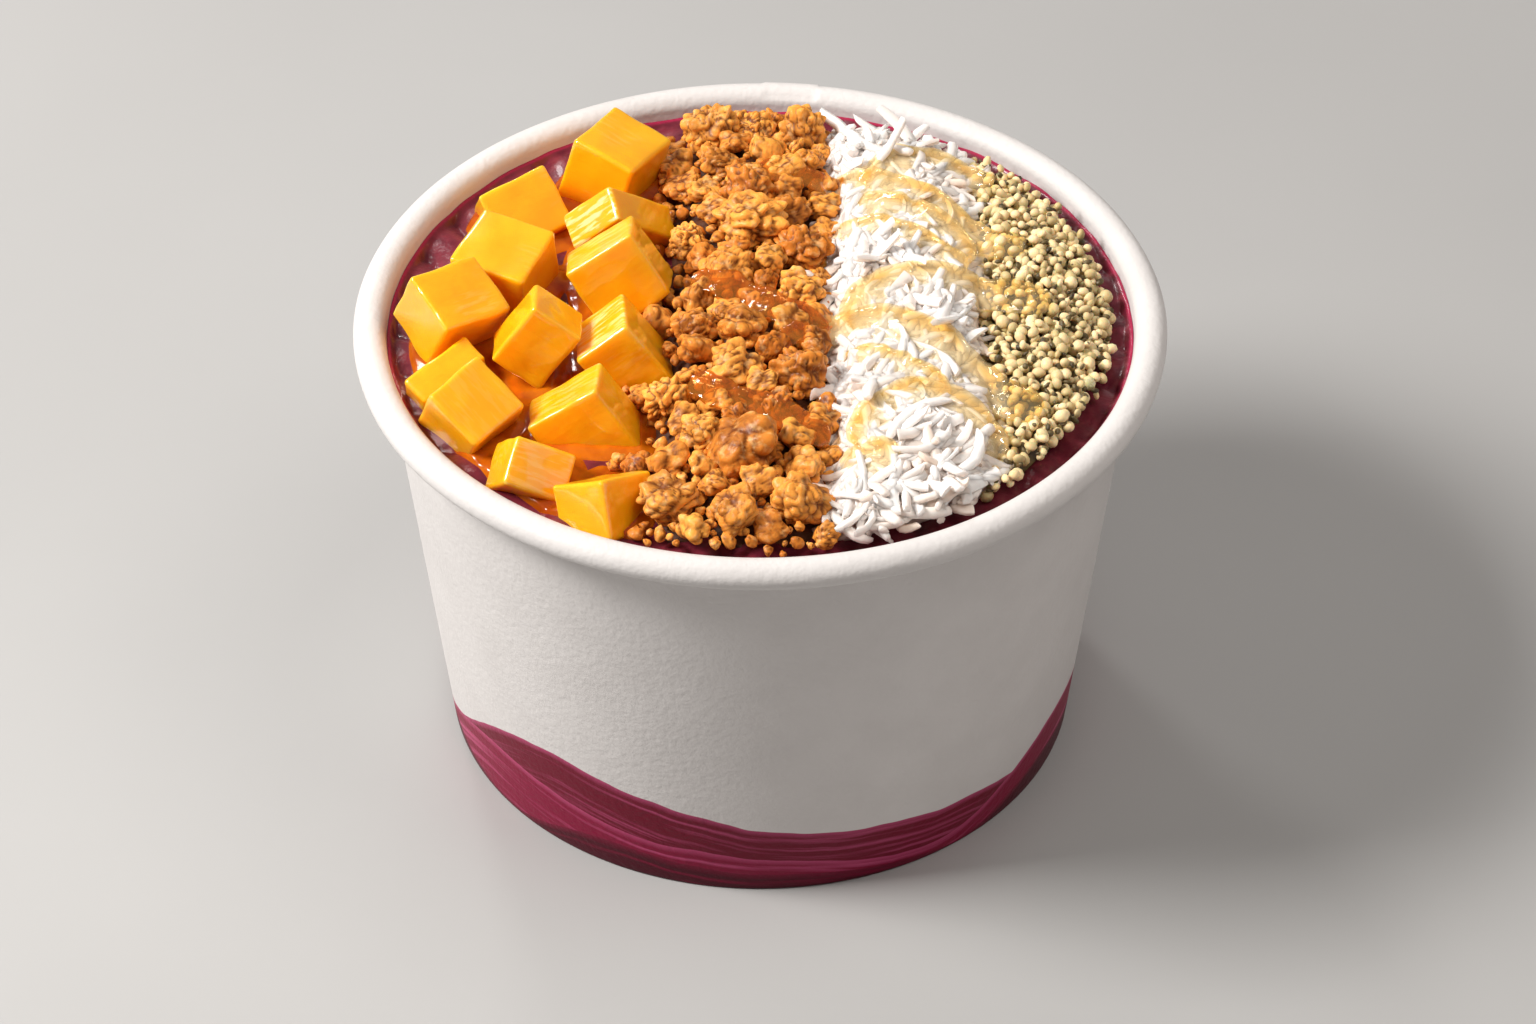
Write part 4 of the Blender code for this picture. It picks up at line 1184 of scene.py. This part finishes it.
def ribbon(stops, half_width, thick, lift, seed, stations=90, columns=15):
    """A honey ribbon: at each station a ring over its top, u from -1 to 1, and back underneath. Its top is
    thick (1 - u^6)^0.5 over the bridged heap, thickest in a rope near u = 0.6, and its width swells with
    noise. The mark flow holds two shares: 1 in the rope and 0 in the thin film, and 1 over hemp seeds."""
    line = spline_through(np.array(stops) * MM, stations)
    s = np.linspace(0, 1, stations)
    ahead = np.gradient(line, axis=0)
    ahead /= np.linalg.norm(ahead, axis=1, keepdims=True)
    aside = np.stack([-ahead[:, 1], ahead[:, 0]], -1)
    ends = np.clip(1 - np.abs(2 * s - 1) ** 10, 0.02, 1) ** 0.5
    swell = 1 + 0.3 * rough_plan(9 * s, 0 * s, 1.0, seed)
    half = half_width * MM * ends * swell
    u = np.linspace(-1, 1, columns)
    plan = line[:, None] + aside[:, None] * (u[None, :, None] * half[:, None, None])
    ground = food_top(plan[..., 0], plan[..., 1])
    spine = bridged(food_top(line[:, 0], line[:, 1]).copy(), 60)
    ground = np.maximum(0.65 * spine[:, None] + 0.35 * ground, ground - 0.3 * MM)
    patchy = 0.65 + 0.6 * rough_plan(14 * s, 0 * s, 1.0, seed + 7)[:, None]
    rope = np.exp(-(((u[None] - 0.62) / 0.3) ** 2)) * np.clip(patchy, 0.1, 1)
    body = thick * MM * ends[:, None] * np.sqrt(np.clip(1 - u[None] ** 6, 0, 1)) * (0.3 + 0.8 * rope)
    ripples = 0.3 * MM * rough(np.stack([plan[..., 0], plan[..., 1], ground], -1), 2.2 * MM, seed)
    ripples = ripples + 0.5 * MM * (u[None] - 0.4)
    high = ground + lift * MM + body / 2 + ripples
    low = ground + lift * MM - body / 2 + ripples
    over = np.concatenate([plan, high[..., None]], -1)
    under = np.concatenate([plan, low[..., None]], -1)[:, ::-1]
    rings = np.concatenate([over, under[:, 1:-1]], 1)
    points, faces = closed_rings(rings)
    on_seeds = eased(rings[..., 0] - border(HEMP_LEFT, rings[..., 1]), -1 * MM, 2.5 * MM)
    on_seeds = np.concatenate([[0], on_seeds.ravel(), [1]])
    gather = np.concatenate([rope, rope[:, ::-1][:, 1:-1]], 1)
    gather = np.concatenate([[1], gather.ravel(), [1]])
    return points, faces, np.stack([gather, on_seeds, 0 * gather], -1)


def ribbons(lines, seed_step, first_seed=0):
    """The ribbons along several lines as one piece: points, faces and flow marks."""
    parts, start = [], 0
    for number, (half, thick, lift, stops) in enumerate(lines):
        points, faces, flow = ribbon(stops, half, thick, lift, seed_step * number + first_seed)
        parts.append((points, [f + start for f in faces], flow))
        start += len(points)
    points, faces, flows = zip(*parts)
    return np.concatenate(points), [np.concatenate(k) for k in zip(*faces)], np.concatenate(flows)


# %% Honey finish
def honey_finish(name, film, rope, film_tint, rope_tint, clear, **gloss):
    """Honey: a glossy amber shader mixed with a clear tinted one. The thin film is paler and clearer than
    the rope. film and rope are the surface colours, the tints are what each face does to light that passes,
    and clear is the share seen through the film and the rope."""
    made, tree, shader = new_finish(name, Coat_Weight=1, Coat_Roughness=0.04, **gloss)
    flow = mark(tree, "flow", "Vector")
    gather, on_seeds, _ = add_node(tree, "SeparateXYZ", {"Vector": flow}).outputs
    waves = bumps(tree, Size=2.6 * MM, Depth=0.4 * MM, Detail=2)
    feed(tree, shader, Base_Color=mixed(tree, gather, film, rope), Normal=waves)
    clouds = place(tree, blotches, Size=3 * MM, Softness=0.25)["Mask"]
    denser = maths(tree, "MAXIMUM", gather, maths(tree, "MULTIPLY", clouds, 0.5))
    seen = ramp(tree, denser, 0, 1, *clear)
    seen = maths(tree, "MAXIMUM", seen, maths(tree, "MULTIPLY", on_seeds, CLEAR_ON_SEEDS))
    tint = mixed(tree, on_seeds, mixed(tree, gather, film_tint, rope_tint), TINT_ON_SEEDS)
    see_through(tree, shader, seen, tint)
    return made


CLEAR_ON_SEEDS, TINT_ON_SEEDS = 0.93, (0.96, 0.90, 0.72, 1)
honey = honey_finish(
    "honey", (1, 0.86, 0.6, 1), (1, 0.62, 0.16, 1), (1, 0.965, 0.86, 1), (1, 0.84, 0.46, 1), (0.86, 0.74),
    Roughness=0.1, Coat_IOR=2.7,
)
caramel = honey_finish(
    "honey_on_granola", (0.64, 0.22, 0.022, 1), (0.42, 0.10, 0.006, 1), (0.96, 0.78, 0.48, 1),
    (0.9, 0.62, 0.28, 1), (0.8, 0.62), Roughness=0.06, Coat_IOR=2.3,
)

# %% Lay the honey
points, faces, flow = ribbons(STRANDS, 3.7)
make_piece("honey_strands", points, faces, honey, ["coconut"], {"flow": flow})
points, faces, flow = ribbons(GLAZES, 9.1, 1)
make_piece("honey_glaze", points, faces, caramel, ["granola"], {"flow": flow})

# %% [markdown]
# ## Floor and light
#
# The bowl stands on a plain pale floor. The key light is a soft one from the left and above, so the wall
# fades from near white at the left to a warm grey at the right. A wider light from the top lifts the heaps,
# a small one behind sets glints on wet faces, and a weak fill and a pale sky keep the shadows open. The top
# light isn't mirrored in anything, because its reflection would wash out every wet top.

# %% Floor
FLOOR_HALF = 1.6
floor_finish, tree, shader = new_finish("floor", Roughness=0.6)
shade = place(tree, blotches, First=(0.41, 0.405, 0.40, 1), Second=(0.39, 0.385, 0.38, 1), Size=0.15)
feed(tree, shader, Base_Color=shade["Color"])
mesh = bpy.data.meshes.new("floor")
corners = [(x * FLOOR_HALF, y * FLOOR_HALF, 0) for x, y in ((-1, -1), (1, -1), (1, 1), (-1, 1))]
mesh.from_pydata(corners, [], [(0, 1, 2, 3)])
mesh.materials.append(floor_finish)
floor = bpy.data.objects.new("floor", mesh)
bpy.context.scene.collection.objects.link(floor)
print("floor:", 2 * FLOOR_HALF, "m wide")

# %% Lights
def soft_light(name, at, target, size, power, colour):
    """A square area light at a place, turned to face a target."""
    lamp = bpy.data.lights.new(name, "AREA")
    lamp.shape, lamp.size, lamp.energy, lamp.color = "SQUARE", size, power, colour
    made = bpy.data.objects.new(name, lamp)
    bpy.context.scene.collection.objects.link(made)
    made.location = at
    toward = np.array(target) - np.array(at)
    flat = math.hypot(toward[0], toward[1])
    made.rotation_euler = (math.atan2(flat, -toward[2]), 0, math.atan2(toward[1], toward[0]) - math.pi / 2)
    return made


soft_light("key", (-0.62, -0.08, 0.66), (0, 0, 0.05), 0.3, 11.5, (1, 0.98, 0.95))
top_light = soft_light("top", (0.35, -0.1, 0.9), (0, 0, 0.06), 0.5, 2.7, (1, 0.96, 0.91))
top_light.visible_glossy = False
soft_light("glint", (-0.25, 0.6, 0.6), (0, 0, 0.06), 0.1, 1.0, (1, 0.98, 0.95))
soft_light("fill", (0.95, -0.3, 0.4), (0, 0, 0.04), 0.9, 1.5, (1, 0.92, 0.86))
world = bpy.data.worlds.new("studio")
bpy.context.scene.world = world
world.use_nodes = True
sky = world.node_tree.nodes["Background"].inputs
sky["Color"].default_value = (1, 0.94, 0.91, 1)
sky["Strength"].default_value = 0.21
bpy.context.scene.view_settings.view_transform = "Standard"
print("lights:", [lamp.name for lamp in bpy.data.lights])
